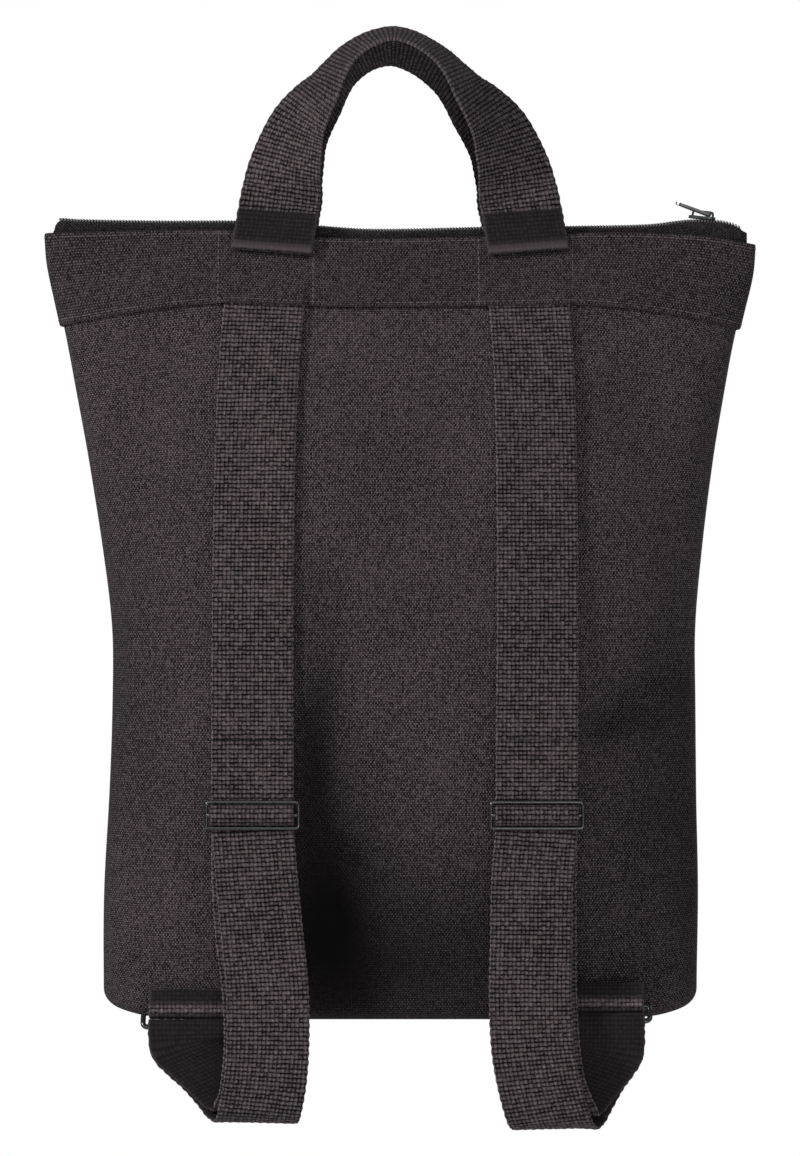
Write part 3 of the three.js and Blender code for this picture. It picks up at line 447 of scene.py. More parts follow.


# Cloth finish: threads in two tones, lighter where raised and darker in the gaps, painted shade of the weave's
# relief, with clouds of wear and specks of lint on top. Webbing has a plainer reverse darkened as painted shade,
# lighter selvedges and a painted highlight along its folds; the body's canvas has painted shade in its hollows.
def clothMaterial(name, look):
    material, tree, shader = newMaterial(name, look["roughness"], sheen=look["sheen"], specular=0.08)
    uv = tree.nodes.new("ShaderNodeUVMap")
    uv.uv_map = "cloth"
    threads = place(tree, weaveGroup, Warp_Pitch=look["warp"], Weft_Pitch=look["weft"], Slub=look["slub"])
    tone = place(tree, toneGroup, Cloud_Scale=look["cloudScale"], Lint_Scale=look["lintScale"])
    tree.links.new(uv.outputs[0], threads.inputs["Vector"])
    tree.links.new(uv.outputs[0], tone.inputs["Vector"])
    ramp = tree.nodes.new("ShaderNodeValToRGB")
    ramp.color_ramp.elements[0].color = srgb(*look["dark"])
    ramp.color_ramp.elements[1].color = srgb(*look["light"])
    # Lighter where threads are raised and on the bumps' tops, darker in the gaps: painted shade of the weave's
    # relief.
    level = maths(tree, "MULTIPLY", threads.outputs["Height"], look["raisedThreadLight"])
    level = maths(tree, "MULTIPLY_ADD", threads.outputs["Thread"], look["threadTone"], level)
    level = maths(tree, "MULTIPLY_ADD", threads.outputs["Over"], look["overTone"], level)
    level = maths(tree, "MULTIPLY_ADD", threads.outputs["Gap"], -look["gapShade"], level)
    level = maths(tree, "MULTIPLY_ADD", threads.outputs["Bump Tops"], look["bumpTopShade"], level)
    level = maths(tree, "MULTIPLY_ADD", tone.outputs["Cloud"], look["cloud"], level)
    level = maths(tree, "MULTIPLY_ADD", tone.outputs["Lint"], look["lint"], level)
    level = maths(tree, "ADD", level, look["base"])
    # Painted shade darkens the webbing's plain side.
    if look.get("reversePaintedShade"):
        plainShaded = readMask(tree, "plainShadedSide")
        level = fadeBy(tree, level, plainShaded, look["reversePaintedShade"])
        level = maths(tree, "MULTIPLY_ADD", plainShaded, look["reverseShadeLevel"], level)
        # Lighter selvedges, and a painted highlight along folds.
        level = maths(tree, "MULTIPLY_ADD", readMask(tree, "lightEdgeAndFoldMask"), look["edgeAndFoldLight"], level)
    if look.get("hollowShade"):
        level = fadeBy(tree, level, readMask(tree, "hollow"), look["hollowShade"])
    tree.links.new(level, ramp.inputs[0])
    tree.links.new(ramp.outputs[0], shader.inputs["Base Color"])
    rough = maths(tree, "MULTIPLY_ADD", threads.outputs["Gap"], 0.08, look["roughness"])
    tree.links.new(rough, shader.inputs["Roughness"])
    height = threads.outputs["Height"]
    if look.get("reversePaintedShade"):
        height = fadeBy(tree, height, plainShaded, 0.9)
    height = maths(tree, "MULTIPLY_ADD", tone.outputs["Lint"], 0.6, height)
    bump = tree.nodes.new("ShaderNodeBump")
    bump.inputs["Strength"].default_value = look["bump"]
    bump.inputs["Distance"].default_value = look["bumpDistance"] * mm
    tree.links.new(height, bump.inputs["Height"])
    tree.links.new(bump.outputs[0], shader.inputs["Normal"])
    return material


canvasLook = {
    "dark": (8, 6, 7), "light": (112, 100, 104), "roughness": 0.92, "sheen": 0.03,
    "warp": 0.78, "weft": 1.12, "slub": 0.9, "cloudScale": 0.018, "lintScale": 0.95,
    "raisedThreadLight": 0.6, "threadTone": 0.5, "overTone": 0.36, "gapShade": 0.5, "bumpTopShade": 0.0, "cloud": 0.3,
    "lint": 1.2, "base": -0.87, "bump": 0.8, "bumpDistance": 0.35,
    "hollowShade": 1.05,   # painted shade in the body's hollows, 0 for none
}
# Its selvedges are lightened, and its folds carry a painted highlight.
# The webbing's plain reverse is darkened: painted shade inside the loops, on the handles' flaps and inner faces and
# on the tabs.
webbingLook = dict(
    canvasLook, dark=(7, 6, 6), light=(118, 106, 109), warp=2.0, weft=2.15, slub=0.7, cloudScale=0.03,
    lintScale=0.9, raisedThreadLight=0.1, threadTone=0.3, overTone=0.06, gapShade=0.0, bumpTopShade=0.66, cloud=0.14,
    lint=1.1, base=-0.90, bumpDistance=0.5, reversePaintedShade=0.9, reverseShadeLevel=0.05, edgeAndFoldLight=0.30)
bandLook = dict(canvasLook, light=(100, 89, 93))
canvas = clothMaterial("bodyCanvas", canvasLook)
bandCanvas = clothMaterial("bandCanvas", bandLook)
webbing = clothMaterial("ribbedWebbing", webbingLook)
tapeCloth = clothMaterial("zipTape", dict(canvasLook, light=(70, 65, 66), warp=0.8, weft=0.8, bump=0.5))


# Black lacquer over steel: faint clouds in the gloss, and a brighter colour where a point is proud, which is bare
# worn metal on the steel's edges and also painted highlight, the glints along the buckles' bars and the coil's
# strands.
def metalMaterial(name, look):
    material, tree, shader = newMaterial(name, look["roughness"], look["metallic"], specular=0.5)
    shader.inputs["Coat Weight"].default_value = look["coat"]
    shader.inputs["Coat Roughness"].default_value = 0.25
    coords = tree.nodes.new("ShaderNodeTexCoord")
    tone = place(tree, toneGroup, Cloud_Scale=look["cloudScale"], Lint_Scale=look["scratchScale"])
    tree.links.new(coords.outputs["Object"], tone.inputs["Vector"])
    surfaceShape = tree.nodes.new("ShaderNodeNewGeometry")
    edge = tree.nodes.new("ShaderNodeMapRange")
    edge.inputs["From Min"].default_value = 0.51
    edge.inputs["From Max"].default_value = 0.62
    tree.links.new(surfaceShape.outputs["Pointiness"], edge.inputs["Value"])
    wearAndGlint = maths(tree, "MULTIPLY", edge.outputs[0], tone.outputs["Lint"])
    mix = tree.nodes.new("ShaderNodeMix")
    mix.data_type = "RGBA"
    mix.inputs[6].default_value = srgb(*look["colour"])
    mix.inputs[7].default_value = srgb(*look["bare"])
    tree.links.new(maths(tree, "MULTIPLY", wearAndGlint, look["wearAndGlint"]), mix.inputs[0])
    tree.links.new(mix.outputs[2], shader.inputs["Base Color"])
    rough = maths(tree, "MULTIPLY_ADD", tone.outputs["Cloud"], 0.2, look["roughness"] - 0.1)
    tree.links.new(rough, shader.inputs["Roughness"])
    bump = tree.nodes.new("ShaderNodeBump")
    bump.inputs["Strength"].default_value = 0.15
    bump.inputs["Distance"].default_value = 0.05 * mm
    tree.links.new(tone.outputs["Lint"], bump.inputs["Height"])
    tree.links.new(bump.outputs[0], shader.inputs["Normal"])
    return material


blackMetal = metalMaterial("blackLacqueredSteel", {
    "colour": (30, 33, 33), "bare": (150, 152, 154), "roughness": 0.27, "metallic": 0.75, "coat": 0.5,
    "cloudScale": 160.0, "scratchScale": 1800.0, "wearAndGlint": 0.8})
# The coil's light grey is partly painted highlight, and its brighter proud points are painted glints.
coilNylon = metalMaterial("coilNylon", {
    "colour": (100, 100, 100), "bare": (170, 170, 170), "roughness": 0.35, "metallic": 0.0, "coat": 0.2,
    "cloudScale": 200.0, "scratchScale": 2500.0, "wearAndGlint": 0.5})
thread = clothMaterial("sewingThread", dict(
    canvasLook, dark=(30, 26, 27), light=(118, 108, 112), warp=0.4, weft=0.4, bump=0.2, base=-0.4))
print("materials ready")


# Canvas body: a grid of bearings by profile steps, from the base's middle up the skin, over the rim and down
# inside to the middle again.
bodyMesh = {"around": 420, "up": 128, "inside": 20, "baseRings": 7, "roundSteps": 8, "rimRound": 0.8}


# The base's half of the profile: rings out across the flat, then a quarter circle up to the wall.
def baseProfile(radius, low, rings, steps):
    share = np.linspace(0.03, 1, rings)[:-1]
    angle = np.linspace(0, np.pi / 2, steps)
    heights = np.concatenate([np.full(rings - 1, low), low + radius * (1 - np.cos(angle))])
    insets = np.concatenate([np.full(rings - 1, radius), radius * (1 - np.sin(angle))])
    return heights, insets, np.concatenate([share, np.ones(steps)])


# Shade painted into the canvas's colour, because the folds and lights alone leave these places too bright.
hollows = {
    "x": [-43.0, -34.0, 2.0, 48.0, 150.0, -150.0, 98.0, 115.0, 135.0],
    "z": [118.0, 44.0, 22.0, 22.0, 86.0, 150.0, 140.0, 147.0, 159.0],
    "reachX": [14.0, 28.0, 52.0, 60.0, 46.0, 34.0, 13.0, 14.0, 15.0],
    "reachZ": [74.0, 64.0, 48.0, 44.0, 100.0, 110.0, 9.0, 9.0, 10.0],
    "strength": [0.70, 0.97, 0.60, 0.35, 0.50, 0.32, 0.35, 0.40, 0.30],
}


# Strength of the painted shade: each pool is a bell about its own middle, and together they never pass 1.
def hollowAt(x, z):
    kept = np.ones(np.shape(x))
    for midX, midZ, reachX, reachZ, strength in tableRows(hollows, "x", "z", "reachX", "reachZ", "strength"):
        kept = kept * (1 - strength * np.exp(-((x - midX) / reachX) ** 2 - ((z - midZ) / reachZ) ** 2))
    return 1 - kept


# The profile is walked once for each bearing: heights, offsets and insets go through the skin's function, and the
# flat rings are scaled towards the middle, where a fan of faces closes each end.
def makeBody():
    m = bodyMesh
    rimFoot = bag["height"] - m["rimRound"]
    bearing = np.linspace(0, 2 * np.pi, m["around"], endpoint=False)[None, :]
    height, inset, scale = baseProfile(bag["baseRadius"], 0.0, m["baseRings"], m["roundSteps"])
    wallHeights = np.linspace(bag["baseRadius"], rimFoot, m["up"])[1:]
    innerHeights = np.linspace(rimFoot, bag["baseRadius"], m["inside"])
    inHeight, inInset, inScale = baseProfile(
        bag["baseRadius"] - bag["wall"], bag["wall"], m["baseRings"], m["roundSteps"])
    rimOffset = np.array([-0.4, -1.0, -1.6])
    rimHeight = bag["height"] - np.array([0.25, 0.0, 0.25])
    heights = np.concatenate([height, wallHeights, rimHeight, innerHeights, inHeight[::-1][1:]])
    offsets = np.concatenate([
        np.zeros(len(height) + len(wallHeights)), rimOffset,
        np.full(len(innerHeights) + len(inHeight) - 1, -bag["wall"])])
    upright = len(wallHeights) + len(rimHeight) + len(innerHeights)
    insets = np.concatenate([inset, np.zeros(upright), inInset[::-1][1:]])
    scales = np.concatenate([scale, np.ones(upright), inScale[::-1][1:]])
    points = skinPoints(bearing, heights[:, None] + 0 * bearing, offsets[:, None], insets[:, None])
    points[..., :2] *= scales[:, None, None]
    u, backColumn = arcFromBack(points)
    climb = np.concatenate([[0], np.cumsum(np.linalg.norm(np.diff(points[:, backColumn], axis=0), axis=1))])
    v = climb[:, None] + 0 * u
    count = m["around"]
    quads, uv = gridFaces(len(heights), count, True, u, v)
    total = len(points) * count
    hubs = np.array([[points[0, :, 0].mean(), points[0, :, 1].mean(), 0.0],
                     [points[-1, :, 0].mean(), points[-1, :, 1].mean(), bag["wall"]]])
    j = np.arange(0, count, 2)
    lastRow = total - count
    lowCap = np.stack([np.full(len(j), total), (j + 2) % count, j + 1, j], 1)
    highCap = np.stack([np.full(len(j), total + 1), lastRow + j, lastRow + j + 1, lastRow + (j + 2) % count], 1)
    caps = np.concatenate([lowCap, highCap])
    capUv = points[0, caps[:, 1:] % count, :2]
    capUv = np.concatenate([np.zeros((len(capUv), 1, 2)), capUv], 1).reshape(-1, 2)
    piece = meshObject("bodyCanvas", np.concatenate([points.reshape(-1, 3), hubs]),
                       np.concatenate([quads, caps]), np.concatenate([uv, capUv]), canvas)
    hollow = hollowAt(points[..., 0], points[..., 2]) * smoothStep(-points[..., 1], 0, 20)
    pointMask(piece, "hollow", np.concatenate([hollow.ravel(), np.zeros(len(hubs))]))
    return finishPiece(piece, rootBody, "body_canvas", "bag_body")


body = makeBody()
print("canvas body:", len(body.data.polygons), "faces")


# Hem band: the same skin carried outwards, its section a flat loop with round edges.
bandMesh = {
    "around": 720, "gap": 0.5, "wall": 1.5, "rows": 26, "edgeRound": 0.8, "ripple": 0.35,
    "swell": 2.3, "swellRise": 24.0, "swellAt": (-68.5, 62.0), "swellHalf": 20.5,
}


# Over each strap's sewn end the band swells: a plateau with smooth sides, fading up the band.
def bandSwell(points):
    m = bandMesh
    x, y, z = points[..., 0], points[..., 1], points[..., 2]
    beside = sum(1 - smoothStep(np.abs(x - at), m["swellHalf"] - 0.5, m["swellHalf"] + 4) for at in m["swellAt"])
    return -m["swell"] * beside * (1 - smoothStep(z, bandFoot, bandFoot + m["swellRise"])) * (y < -4)


# The loop goes up the outer face, over the top edge, down the inner face and round the foot, at every bearing.
def makeBand():
    m = bandMesh
    top, foot = bag["height"] - m["edgeRound"], bandFoot + m["edgeRound"]
    bearing = np.linspace(0, 2 * np.pi, m["around"], endpoint=False)[None, :]
    edge = np.linspace(-np.pi / 2, np.pi / 2, 5)
    rise = np.linspace(foot, top, m["rows"])
    mid, half = m["gap"] + m["wall"] / 2, m["wall"] / 2
    heights = np.concatenate([rise, top + m["edgeRound"] * np.cos(edge[::-1])[1:-1], rise[::-1],
                              foot - m["edgeRound"] * np.cos(edge)[1:-1]])
    offsets = np.concatenate([np.full(len(rise), mid + half), mid + half * np.sin(edge[::-1])[1:-1],
                              np.full(len(rise), mid - half), mid + half * np.sin(edge)[1:-1]])
    points = skinPoints(bearing, heights[:, None] + 0 * bearing, offsets[:, None])
    points[..., 1] += bandSwell(points)
    ripple = m["ripple"] * softNoise(points[..., 0] / 14, points[..., 2] / 30, 77, 2)
    footFade = 1 - smoothStep(heights, bandFoot + 2, bandFoot + 22)
    outward = np.sign(points[..., 1])
    points[..., 1] += outward * ripple * footFade[:, None] * (offsets > mid)[:, None]
    u, _ = arcFromBack(points)
    v = np.concatenate([[0], np.cumsum(np.abs(np.diff(heights)))])[:, None] + 0 * u
    points = np.concatenate([points, points[:1]])
    u, v = np.concatenate([u, u[:1]]), np.concatenate([v, v[-1:] + 1])
    quads, uv = gridFaces(len(points), m["around"], True, u, v)
    quads = quads % ((len(points) - 1) * m["around"])
    piece = meshObject("hemBand", points[:-1].reshape(-1, 3), quads, uv, bandCanvas)
    return finishPiece(piece, rootBody, "band_canvas", "hem_band")


band = makeBand()
print("hem band:", len(band.data.polygons), "faces")


# Woven webbing, used by the straps, the handles and the ring tabs.
weave = {
    "width": 40.0,
    "thickness": 1.8,
    "rowPitch": 2.15,
    "columnPitch": 2.0,
    "rib": 0.17,
    "basket": 0.15,
    "selvedge": 0.22,
    "wander": 0.35,        # mm of soft waviness off the flat
    "columns": 40,
}


# Each vector divided by its own length.
def unit(vectors):
    return vectors / np.maximum(np.linalg.norm(vectors, axis=-1, keepdims=True), 1e-9)


# Smooth curve through key points, by cubic pieces over the square root of chord length, cut at equal spacing.
def smoothPath(keys, spacing, *extras):
    keys = np.asarray(keys, float)
    chord = np.maximum(np.linalg.norm(np.diff(keys, axis=0), axis=1), 1e-6)
    places = np.concatenate([[0], np.cumsum(np.sqrt(chord))])
    dense = np.linspace(0, places[-1], 12 * len(keys) + 1)
    table = {"place": places}
    columns = np.concatenate([keys] + [np.asarray(extra, float).reshape(len(keys), -1) for extra in extras], axis=1)
    curve = np.stack([readTable(dict(table, value=column), "place", "value", dense) for column in columns.T], 1)
    run = np.concatenate([[0], np.cumsum(np.linalg.norm(np.diff(curve[:, :3], axis=0), axis=1))])
    rows = max(int(round(run[-1] / spacing)), 2)
    even = np.linspace(0, run[-1], rows + 1)
    return np.stack([np.interp(even, run, column) for column in curve.T], 1), even


# Direction of a path at each point: the difference of its neighbours.
def pathTangents(points):
    return unit(np.gradient(points, axis=0))


# Direction turned square to each tangent.
def squared(tangents, direction):
    direction = np.broadcast_to(direction, tangents.shape)
    return unit(direction - np.sum(direction * tangents, axis=1, keepdims=True) * tangents)


# Webbing along a path. Its relief is a basket of bumps, cos(pi u / column) times cos(pi v / row), over ribs
# cos(2 pi v / row), where u runs across it and v along it; the selvedges step in and out with v.
def webbingRibbon(name, path, across, run, material, seed, calm=None, look=weave, plainShadedFront=0.0, plainShadedBack=0.0,
                  edgeAndFoldLight=0.0):
    rows, columns = len(path), look["columns"]
    plainShadedFront, plainShadedBack = np.broadcast_to(plainShadedFront, rows)[:, None], np.broadcast_to(plainShadedBack, rows)[:, None]
    half, thick = look["width"] / 2, look["thickness"] / 2
    face = unit(np.cross(pathTangents(path), across))
    flat = np.linspace(-half + 0.45, half - 0.45, columns)
    edge = np.array([[half - 0.12, 0.6], [half, 0.0], [half - 0.12, -0.6]])
    u = np.concatenate([flat, edge[:, 0], flat[::-1], -edge[:, 0]])
    lift = np.concatenate([np.full(columns, 1.0), edge[:, 1], np.full(columns, -1.0), -edge[:, 1]])
    v = run[:, None]
    inner = np.clip((half - np.abs(u)) / 1.5, 0, 1)
    basket = np.cos(np.pi * u / look["columnPitch"]) * np.cos(np.pi * v / look["rowPitch"])
    ribs = np.cos(2 * np.pi * v / look["rowPitch"])
    relief = (look["basket"] * basket + look["rib"] * ribs) * (0.35 + 0.65 * inner) * np.sign(lift)
    plainShaded = np.where(lift > 0, plainShadedFront, plainShadedBack)
    relief = np.where(np.abs(lift) < 0.9, 0, relief) * (1 - 0.85 * plainShaded)
    step = look["selvedge"] * np.cos(np.pi * v / look["rowPitch"] + 0.6) * (1 - inner) * np.sign(u)
    wave = look["wander"] * softNoise(u[None, :] / 26 + 40, v / 44 + 3, seed, 3)
    if calm is not None:
        wave = wave * calm[:, None]
    away = lift * (thick - 0.12) + relief + wave
    points = path[:, None] + across[:, None] * (u + step)[..., None] + face[:, None] * away[..., None]
    around = len(u)
    side = np.concatenate([u, [u[0]]]) + np.concatenate([np.where(lift < 0, 200.0, 0.0), [0.0]])
    uGrid = np.broadcast_to(side + look["columnPitch"] / 2, (rows, around + 1))
    vGrid = np.broadcast_to(v + look["rowPitch"] / 2, (rows, around + 1))
    quads, uv = gridFaces(rows, around, True, uGrid, vGrid)
    # Each end is closed by strips between the two faces' matching columns.
    k = np.arange(columns - 1)
    mate = 2 * columns + len(edge) - 1 - k
    first = np.stack([k + 1, k, mate, mate - 1], 1)
    last = first[:, ::-1] + (rows - 1) * around
    ends = np.concatenate([first, last])
    endUv = np.stack([np.tile(u[ends % around], 1), np.zeros(ends.shape)], -1).reshape(-1, 2)
    piece = meshObject(
        name, points.reshape(-1, 3), np.concatenate([quads, ends]), np.concatenate([uv, endUv]), material)
    # The plain side's mask: a plainer weave here, and painted shade in the material.
    pointMask(piece, "plainShadedSide", plainShaded)
    # Lighter selvedges all along, and a painted highlight on the rows the caller gives, along folds.
    pointMask(piece, "lightEdgeAndFoldMask", np.maximum(np.broadcast_to(edgeAndFoldLight, rows)[:, None], 0.7 * (1 - inner) + 0 * plainShaded))
    return piece


# Points on a circle that stands across the bag, its angle counted from the top towards the wearer.
def arcPoints(centre, radius, fromDegrees, toDegrees, steps):
    angle = np.radians(np.linspace(fromDegrees, toDegrees, steps))
    x, y, z = centre
    return np.stack([np.full(steps, x), y - radius * np.sin(angle), z + radius * np.cos(angle)], 1)


# Shoulder straps: where the buckles and rings are, and the hanging loops as shares of the way to the ring.
straps = {
    "spacing": 138.0, "drift": -2.6, "rest": 0.8, "gap": 0.3,
    "buckleHeight": 100.0, "buckleWidth": 46.4, "wire": 1.8, "tail": 30.0,
    "loopDrop": 49.0, "loopDepth": 18.0, "rightExtra": 3.0,
    "ringSpacing": 201.0, "ringShift": -1.7, "ringWidth": 48.0, "ringWire": 2.6, "ringPitch": 8.2,
    "ringLean": 38.0, "ringFoot": 3.4, "rightLift": 3.0, "tabHeight": 13.0,
}
wander = {"down": [0.0, 0.2, 0.5, 1.0], "left": [0.13, 0.05, 0.01, 0.0], "right": [-0.08, -0.01, 0.01, 0.0]}
innerLayer = {
    "down": [0.17, 0.36, 0.55, 0.72, 0.85, 0.925, 0.948, 0.915, 0.850, 0.785, 0.740],
    "out": [0.06, 0.15, 0.30, 0.46, 0.52, 0.38, 0.14, -0.10, -0.08, 0.00, 0.13],
    "left": [0.00, -0.06, -0.17, -0.21, -0.17, -0.11, -0.03, 0.13, 0.43, 0.74, 0.97],
    "right": [-0.02, -0.02, -0.02, 0.02, 0.10, 0.22, 0.31, 0.43, 0.64, 0.87, 0.99],
}
outerLayer = {
    "down": [0.745, 0.785, 0.835, 0.905, 0.970, 1.000, 0.965, 0.850, 0.720, 0.550, 0.360, 0.170],
    "out": [-0.16, -0.23, -0.29, -0.38, -0.24, 0.20, 0.72, 0.94, 0.90, 0.72, 0.48, 0.27],
    "left": [0.99, 0.82, 0.58, 0.30, 0.08, -0.05, -0.12, -0.22, -0.26, -0.25, -0.16, -0.07],
    "right": [1.00, 0.90, 0.75, 0.58, 0.42, 0.28, 0.17, 0.02, -0.08, -0.11, -0.09, -0.07],
}
halfWeb = weave["thickness"] / 2
layerPitch = weave["thickness"] + straps["gap"]
nearBar = straps["wire"] / 2 + straps["gap"] + halfWeb
farBar = nearBar + layerPitch
barPitch = straps["wire"] + 2 * weave["thickness"] + 3 * straps["gap"]


# Where a strap hangs: its ring's and its buckle's distance from the middle, and how far out the buckle lies.
def strapLine(side):
    buckleX = side * straps["spacing"] / 2 + straps["drift"]
    innerEdge = buckleX - side * straps["buckleWidth"] / 2
    panel = -facePoint(innerEdge, straps["buckleHeight"] + 2 * barPitch, 0)[1]
    ringX = side * straps["ringSpacing"] / 2 + straps["ringShift"]
    return ringX, buckleX, -(panel + straps["rest"] + farBar + halfWeb)


# Middles of a ring's two long bars; the lower one hangs at a lean from the upper one.
def ringBars(side):
    ringX = strapLine(side)[0]
    base = -facePoint(ringX - side * weave["width"] / 2, straps["tabHeight"], straps["rest"])[1]
    y = -(base + layerPitch + straps["gap"] + straps["ringWire"] / 2)
    upper = np.array([ringX, y, straps["ringFoot"] + (straps["rightLift"] if side > 0 else 0)])
    lean = np.radians(straps["ringLean"])
    return upper, upper - straps["ringPitch"] * np.array([0, np.sin(lean), np.cos(lean)])


# The strap is one path: down the panel, through the buckle, down and round the ring, and back up to the buckle,
# with half circles round every bar it turns on and table rows between them.
def makeStrap(side):
    name = sideName(side)
    ringX, buckleX, buckleY = strapLine(side)
    middle = straps["buckleHeight"]
    hangY = buckleY + farBar
    share = np.linspace(-0.012, 0.95, 26)
    height = (bandFoot + 9) + (middle + barPitch + 4 - bandFoot - 9) * share
    x = buckleX + weave["width"] * readTable(wander, "down", name, share)
    tuck = smoothStep(height, bandFoot - 14, bandFoot - 1)
    down = facePoint(x, height, straps["rest"] + halfWeb - 0.35 * tuck)
    settle = smoothStep(share, 0.55, 1)
    down[:, 1] += (np.minimum(hangY, down[:, 1]) - down[:, 1]) * settle
    slant = unit(facePoint(x + 1, height, 0) - facePoint(x - 1, height, 0))
    dropTop = middle - barPitch
    dropSpan = dropTop + straps["loopDrop"] + (straps["rightExtra"] if side > 0 else 0) - halfWeb
    hang = lambda rows: np.stack([
        buckleX + (ringX - buckleX) * np.array(rows[name]),
        hangY - np.array(rows["out"]) * straps["loopDepth"],
        dropTop - np.array(rows["down"]) * dropSpan], 1)
    lower = ringBars(side)[1]
    wrap = straps["ringWire"] / 2 + straps["rest"] + halfWeb
    angle = np.radians(np.linspace(185, -5, 11))
    turn = np.stack([np.full(11, ringX), lower[1] + wrap * np.cos(angle), lower[2] + wrap * np.sin(angle)], 1)
    lead = lambda point: np.array([[point[0], point[1], lower[2] - 2.5]])
    bar = lambda offset, radius, start, stop, steps=6: arcPoints(
        (buckleX, buckleY, middle + offset), radius, start, stop, steps)
    tailShare = np.array([0.35, 0.7, 1.0])
    tail = np.stack([np.full(3, buckleX), hangY - layerPitch - 0.6 * tailShare,
                     middle + barPitch + straps["tail"] * tailShare], 1)
    goingDown = np.concatenate([
        down, bar(barPitch, farBar, -90, -180)[:-1], bar(0, nearBar, 0, 180, 9)[:-1],
        bar(-barPitch, farBar, 0, -90), hang(innerLayer), lead(turn[0]), turn])
    comingBack = np.concatenate([
        lead(turn[-1]), hang(outerLayer), bar(-barPitch, nearBar, -90, 0)[:-1],
        bar(0, farBar, 180, 0, 9)[:-1], bar(barPitch, nearBar, -180, -90), tail])
    keys = np.concatenate([goingDown, comingBack])
    resting = np.zeros(len(keys))
    resting[:len(down)] = 1 - settle
    slants = np.tile([1.0, 0, 0], (len(keys), 1))
    slants[:len(down)] = slant
    # The webbing's ribbed side faces out on the way down, and out again on the layer that comes back up; its other,
    # plain side is darkened in the material as painted shade.
    turned = np.concatenate([np.zeros(len(goingDown)), np.ones(len(comingBack))])
    path, run = smoothPath(keys, weave["rowPitch"] / 2, resting, slants, turned)
    points, resting, slants = path[:, :3], np.clip(path[:, 3:4], 0, 1), unit(path[:, 4:7])
    level = np.array([1.0, 0, 0])
    # The webbing gives a little on the slant, so its width turns by half of its path's lean.
    across = squared(pathTangents(points), level) + level
    across[:, 1] = 0
    across = unit(unit(across) * (1 - resting) + slants * resting)
    nearBars = np.exp(-((points[:, 2] - middle) / 22) ** 2) + np.exp(-((points[:, 2] - lower[2]) / 14) ** 2)
    turned = np.clip(path[:, 7], 0, 1)
    piece = webbingRibbon("shoulderStrap" + name.capitalize(), points, across, run, webbing, 60 + side,
                          1 - np.clip(nearBars, 0, 1), plainShadedFront=turned, plainShadedBack=1 - turned)
    return finishPiece(piece, rootBody, "webbing", "shoulder_strap_" + name)


for side in (-1, 1):
    strap = makeStrap(side)
    print(strap.name, len(strap.data.polygons), "faces")


# Stitches: each is a grain of thread, an ellipsoid laid along its row, copied to every place by one outer sum.
stitching = {
    "length": 2.5, "pitch": 3.3, "width": 0.55, "height": 0.42, "aboveEdge": 2.4, "belowTop": 1.9,
    "boxes": (-89.0, -42.5, 38.5, 84.5),
}


def stitchGrains(path, normal):
    points, _ = smoothPath(path, stitching["pitch"], normal)
    along = pathTangents(points[:, :3])
    out = squared(along, points[:, 3:6])
    side = np.cross(along, out)
    around = np.linspace(0, 2 * np.pi, 8, endpoint=False)
    climb = np.linspace(0.12, np.pi - 0.12, 6)[:, None]
    shape = np.stack([
        -np.cos(climb) * stitching["length"] / 2 + 0 * around,
        np.sin(climb) * np.cos(around) * stitching["width"] / 2,
        np.sin(climb) * np.sin(around) * stitching["height"] / 2], -1)
    frames = np.stack([along, side, out], 1)
    return points[:, None, None, :3] + np.einsum("rcs,nsk->nrck", shape, frames)


# All rows' grains in one mesh: the faces of one grain, repeated with each grain's first point added.
def stitchPiece(name, rows):
    grains = np.concatenate([stitchGrains(path, normal) for path, normal in rows])
    count, rings, around = grains.shape[:3]
    r, c = np.meshgrid(np.arange(rings - 1), np.arange(around), indexing="ij")
    r, c = r.ravel() * around, c.ravel()
    nextC = (c + 1) % around
    low = np.array([[0, 1, 2, 3], [0, 3, 4, 5], [0, 5, 6, 7]])
    faces = np.concatenate([np.stack([r + c, r + around + c, r + around + nextC, r + nextC], 1),
                            low, low[:, ::-1] + (rings - 1) * around])
    quads = (np.arange(count)[:, None, None] * rings * around + faces).reshape(-1, 4)
    points = grains.reshape(-1, 3)
    return meshObject(name, points, quads, points[quads.ravel()][:, ::2], thread)


# A row on the skin: points at bearings and heights, and the way out as the skin's change with its offset.
def skinRow(bearing, height, offset):
    bearing, height = np.broadcast_arrays(np.asarray(bearing, float), np.asarray(height, float))
    path = skinPoints(bearing, height, offset)
    out = skinPoints(bearing, height, offset + 1.0) - path
    path[..., 1] += bandSwell(path)
    return path, out


# The bearing at which the section, a superellipse, stands at a distance from the middle.
def bearingAt(x, height, side):
    halfWidth, _, square = bodySection(height)
    share = x / halfWidth
    return np.arctan2(side * (1 - np.abs(share) ** square) ** (1 / square), share)


# One row round the band's foot, one round its top, and upright rows beside the strap ends on both faces.
def makeStitches():
    low = bandFoot + stitching["aboveEdge"]
    high = bag["height"] - stitching["belowTop"]
    outside = bandMesh["gap"] + bandMesh["wall"] + 0.05
    bearing = np.linspace(0, 2 * np.pi, 721)
    rows = [skinRow(bearing, low, outside), skinRow(bearing, high, outside)]
    heights = np.linspace(low, high, 24)
    rows += [skinRow(bearingAt(x, heights, side), heights, outside)
             for side in (-1, 1) for x in stitching["boxes"]]
    return finishPiece(stitchPiece("bandStitches", rows), rootBody, "band_canvas")


stitches = makeStitches()
print("stitches:", len(stitches.data.polygons), "faces")


